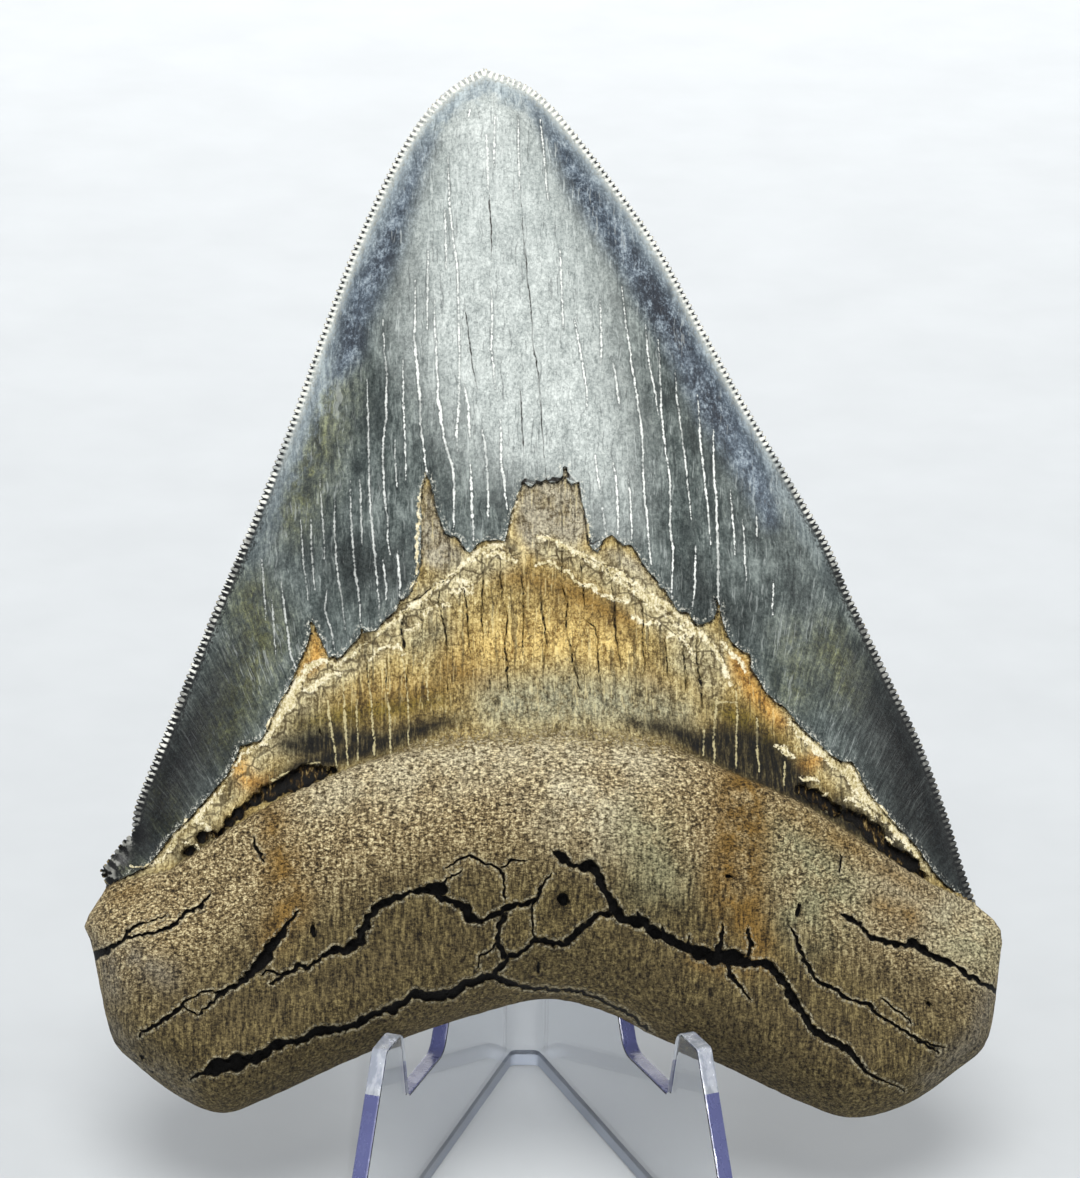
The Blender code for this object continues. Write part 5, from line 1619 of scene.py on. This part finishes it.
# A wing's corners: (along it from the fold, up, radius of the corner).
WING = [
    (62.1, 0.0, 0.5), (49.0, 26.1, 0.8), (42.9, 25.9, 2.2), (40.6, 16.0, 0.5),
    (27.5, 15.4, 2.5), (7.5, 56.0, 4.0),
]
FOLD_CUTS = 8
FOLD_MARGIN = 0.15
ARC_STEPS = 8
POLISH = 0.22
# Height of the grey strip along the foot, a painted reflection of the bottom edge.
FOOT_REFLECTION_HEIGHT = 1.7
CLEAR_FROM = 21.2
PRONG_FROM = 40.0
CUT_ANGLE = math.radians(60.0)
STAND_SHARP = math.radians(12.0)


def rounded(corners):
    """A polyline through the corners, each one turned by an arc of its own radius."""
    points = []
    for k, (x, y, radius) in enumerate(corners):
        here = Vector((x, y))
        before = (Vector(corners[k - 1][:2]) - here).normalized()
        after = (Vector(corners[(k + 1) % len(corners)][:2]) - here).normalized()
        half = before.angle(after) / 2.0
        centre = here + (before + after).normalized() * radius / math.sin(half)
        start = here + before * radius / math.tan(half) - centre
        end = here + after * radius / math.tan(half) - centre
        turns = [start.slerp(end, t / ARC_STEPS) for t in range(ARC_STEPS + 1)]
        points += [centre + radius * turn for turn in turns]
    return points


def sheet_outline():
    """The flat sheet before it is folded: along it from the middle, and up."""
    turn = math.pi / 2 - WING_ANGLE
    wing_start = SPINE_HALF + FOLD_RADIUS * (turn - math.tan(turn / 2))
    right = [(wing_start + out, up, radius) for out, up, radius in WING]
    left = [(-along, up, radius) for along, up, radius in reversed(right)]
    return rounded(right + left)


def fold(along, up, back):
    """Where a point of the flat sheet goes: back is how deep it is in the sheet's thickness."""
    turn = math.pi / 2 - WING_ANGLE
    side = math.copysign(1.0, along)
    bend = min(max((abs(along) - SPINE_HALF) / FOLD_RADIUS, 0.0), turn)
    straight = max(abs(along) - SPINE_HALF - FOLD_RADIUS * turn, 0.0)
    far = FOLD_RADIUS + back
    x = min(abs(along), SPINE_HALF) + far * math.sin(bend) + straight * math.cos(turn)
    y = far * math.cos(bend) - FOLD_RADIUS - straight * math.sin(turn)
    return Vector((FOLD_POINT[0] + side * x, FOLD_POINT[1] + y, up)) * MM


def acrylic(part):
    """The start of one of the sheet's materials: its nodes, place, fine scuffs and clouds."""
    n = Nodes("acrylic_" + part)
    n.finish(IOR=ACRYLIC_IOR)
    place = n.add("ShaderNodeTexCoord").outputs["Object"]
    scuff = n.noise(place, (900.0, 900.0, 220.0), 3.0)
    cloud = n.noise(place, (90.0, 90.0, 90.0))
    return n, place, scuff, cloud


def acrylic_face():
    """Clear, with faint scuffs."""
    n, _, scuff, _ = acrylic("face")
    rough = n.ramp(scuff, 0.5, 0.75, 0.02, 0.09)
    return n.finish(Base_Color="#f6f8fb", Roughness=rough, Transmission_Weight=1.0)


def acrylic_cut_edge():
    """Violet-blue, but grey just above the floor as a painted reflection of the sheet's bottom
    edge.
    """
    n, place, scuff, cloud = acrylic("cut_edge")
    violet = n.mix(n.ramp(cloud, 0.3, 0.7), "#565a87", "#5f6391")
    colour = n.mix(n.ramp(n.split(place)[2], 0.0003, 0.0012), "#8d939c", violet)
    rough = n.ramp(scuff, 0.4, 0.7, 0.2, 0.4)
    return n.finish(Base_Color=colour, Roughness=rough, Transmission_Weight=0.3)


def acrylic_frosted_edge():
    """The prongs' cut edges: clearer, and frosted."""
    n, _, scuff, _ = acrylic("frosted_edge")
    colour = n.mix(n.ramp(scuff, 0.4, 0.6), "#b9bfc9", "#e4e8ef")
    rough = n.ramp(scuff, 0.4, 0.7, 0.12, 0.3)
    return n.finish(Base_Color=colour, Roughness=rough, Transmission_Weight=0.55)


def acrylic_foot_reflection():
    """Grey along the foot: a painted reflection of the sheet's bottom edge, seen through the sheet.
    """
    n, _, _, cloud = acrylic("foot_reflection")
    colour = n.mix(n.ramp(cloud, 0.3, 0.7), "#757b85", "#868c96")
    rough = n.ramp(cloud, 0.3, 0.7, 0.35, 0.5)
    return n.finish(Base_Color=colour, Roughness=rough, Transmission_Weight=0.1)


STAND_MATERIALS = [acrylic_face, acrylic_cut_edge, acrylic_frosted_edge, acrylic_foot_reflection]


def stand_material(face):
    """Which of these a face of the sheet takes, worked out before the sheet is folded."""
    middle = face.calc_center_median()
    if abs(face.normal.y) > 0.9:
        return acrylic_foot_reflection if middle.z < FOOT_REFLECTION_HEIGHT else acrylic_face
    prong_tip = middle.z > CLEAR_FROM and abs(middle.x) > PRONG_FROM
    return acrylic_frosted_edge if prong_tip else acrylic_cut_edge


def cut_across(bm, place, normal):
    """Cut the faces of the sheet that a plane crosses."""
    everything = [*bm.verts, *bm.edges, *bm.faces]
    bmesh.ops.bisect_plane(bm, geom=everything, plane_co=place, plane_no=normal)


def make_stand():
    """One sheet: its outline thickened, its cut edges polished round, and folded."""
    bm = bmesh.new()
    front = bm.faces.new([bm.verts.new((x, 0.0, z)) for x, z in sheet_outline()])
    grown = bmesh.ops.extrude_face_region(bm, geom=[front], use_keep_orig=True)
    behind = [item for item in grown["geom"] if isinstance(item, bmesh.types.BMVert)]
    bmesh.ops.translate(bm, verts=behind, vec=(0.0, SHEET, 0.0))
    bmesh.ops.recalc_face_normals(bm, faces=bm.faces)
    rim = [edge for edge in bm.edges if edge.calc_face_angle(0.0) > CUT_ANGLE]
    bmesh.ops.bevel(bm, geom=rim, offset=POLISH, segments=2, profile=0.5, affect="EDGES")
    arc = FOLD_RADIUS * (math.pi / 2 - WING_ANGLE)
    bends = [arc * cut / FOLD_CUTS for cut in range(FOLD_CUTS + 1)]
    cuts = [-FOLD_MARGIN, *bends, arc + FOLD_MARGIN]
    for along in sorted(side * (SPINE_HALF + cut) for side in (-1.0, 1.0) for cut in cuts):
        cut_across(bm, (along, 0.0, 0.0), (1.0, 0.0, 0.0))
    for up in (FOOT_REFLECTION_HEIGHT, CLEAR_FROM):
        cut_across(bm, (0.0, 0.0, up), (0.0, 0.0, 1.0))
    for face in bm.faces:
        face.material_index = STAND_MATERIALS.index(stand_material(face))
        face.smooth = True
    for vert in bm.verts:
        vert.co = fold(vert.co.x, vert.co.z, vert.co.y)
    bmesh.ops.triangulate(bm, faces=bm.faces)
    bmesh.ops.recalc_face_normals(bm, faces=bm.faces)
    mesh = bpy.data.meshes.new("acrylic_stand")
    bm.to_mesh(mesh)
    bm.free()
    mesh.set_sharp_from_angle(angle=STAND_SHARP)
    for make_material in STAND_MATERIALS:
        mesh.materials.append(make_material())
    stand = bpy.data.objects.new("acrylic_stand", mesh)
    bpy.context.scene.collection.objects.link(stand)
    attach(stand, "root")
    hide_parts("stand")


# ---------------------------------------------------------------------------------------------
# The studio.
FLOOR_HALF = 15.0
FLOOR_LEVEL = -0.0002
ROOM_COLOUR = (0.93, 0.96, 1.0, 1.0)
ROOM_LIGHT = 0.58


def floor_material():
    """Pale grey, with faint clouds."""
    n = Nodes("studio_floor")
    place = n.add("ShaderNodeTexCoord").outputs["Object"]
    colour = n.shades(n.noise(place, (40.0, 40.0, 40.0)), STUDIO_FLOOR)
    return n.finish(Base_Color=colour, Roughness=0.6, Specular_IOR_Level=0.15)


def make_floor():
    """A wide floor just below the stand."""
    bm = bmesh.new()
    bmesh.ops.create_grid(bm, x_segments=2, y_segments=2, size=FLOOR_HALF)
    mesh = bpy.data.meshes.new("floor")
    bm.to_mesh(mesh)
    bm.free()
    mesh.materials.append(floor_material())
    floor = bpy.data.objects.new("floor", mesh)
    floor.location.z = FLOOR_LEVEL
    bpy.context.scene.collection.objects.link(floor)


def add_light(name, kind, place, power, colour, aim=(0.0, 0.0, 0.06), **settings):
    """A light at a place, aimed at a point of the object, by default its middle."""
    light = bpy.data.lights.new(name, kind)
    light.energy = power
    light.color = colour
    for key, value in settings.items():
        setattr(light, key, value)
    lamp = bpy.data.objects.new(name, light)
    lamp.location = place
    lamp.rotation_euler = (Vector(aim) - Vector(place)).to_track_quat("-Z", "Y").to_euler()
    bpy.context.scene.collection.objects.link(lamp)


def make_studio():
    """Soft light from above, in front and the sides, and a spot below the root's arch."""
    bpy.context.scene.view_settings.view_transform = "Standard"
    world = bpy.data.worlds.new("studio")
    world.use_nodes = True
    background = world.node_tree.nodes["Background"].inputs
    background["Color"].default_value = ROOM_COLOUR
    background["Strength"].default_value = ROOM_LIGHT
    bpy.context.scene.world = world
    add_light("key", "SUN", (-0.05, -0.5, 1.2), 2.2, (1.0, 0.995, 0.97), angle=math.radians(32.0))
    add_light("sheen", "AREA", (-0.03, -0.85, 0.62), 0.3, (0.97, 0.99, 1.0), size=0.35)
    add_light("front", "AREA", (0.0, -0.75, 0.16), 0.9, (0.98, 0.99, 1.0), size=0.4)
    add_light(
        "under", "SPOT", (-0.02, -0.62, 0.225), 24.0, (0.98, 0.99, 1.0), aim=(-0.001, 0.004, 0.0),
        spot_size=math.radians(4.2), spot_blend=1.0, shadow_soft_size=0.012,
    )
    add_light("left", "AREA", (-0.9, -0.1, 0.7), 1.4, (0.95, 0.97, 1.0), size=0.45)
    add_light("right", "AREA", (0.9, -0.1, 0.7), 1.6, (1.0, 0.98, 0.95), size=0.45)
    add_light("behind", "AREA", (0.0, 0.8, 0.4), 4.0, (1.0, 1.0, 1.0), size=0.8)


def make_camera():
    """The photo's own view."""
    data = bpy.data.cameras.new("camera")
    data.sensor_width = SENSOR
    data.lens = FOCAL_PIXELS / PICTURE[1] * SENSOR
    data.clip_start = 0.05
    camera = bpy.data.objects.new("camera", data)
    camera.matrix_world = camera_matrix()
    bpy.context.scene.collection.objects.link(camera)
    bpy.context.scene.camera = camera


make_camera()
make_tooth()
make_stand()
make_floor()
make_studio()
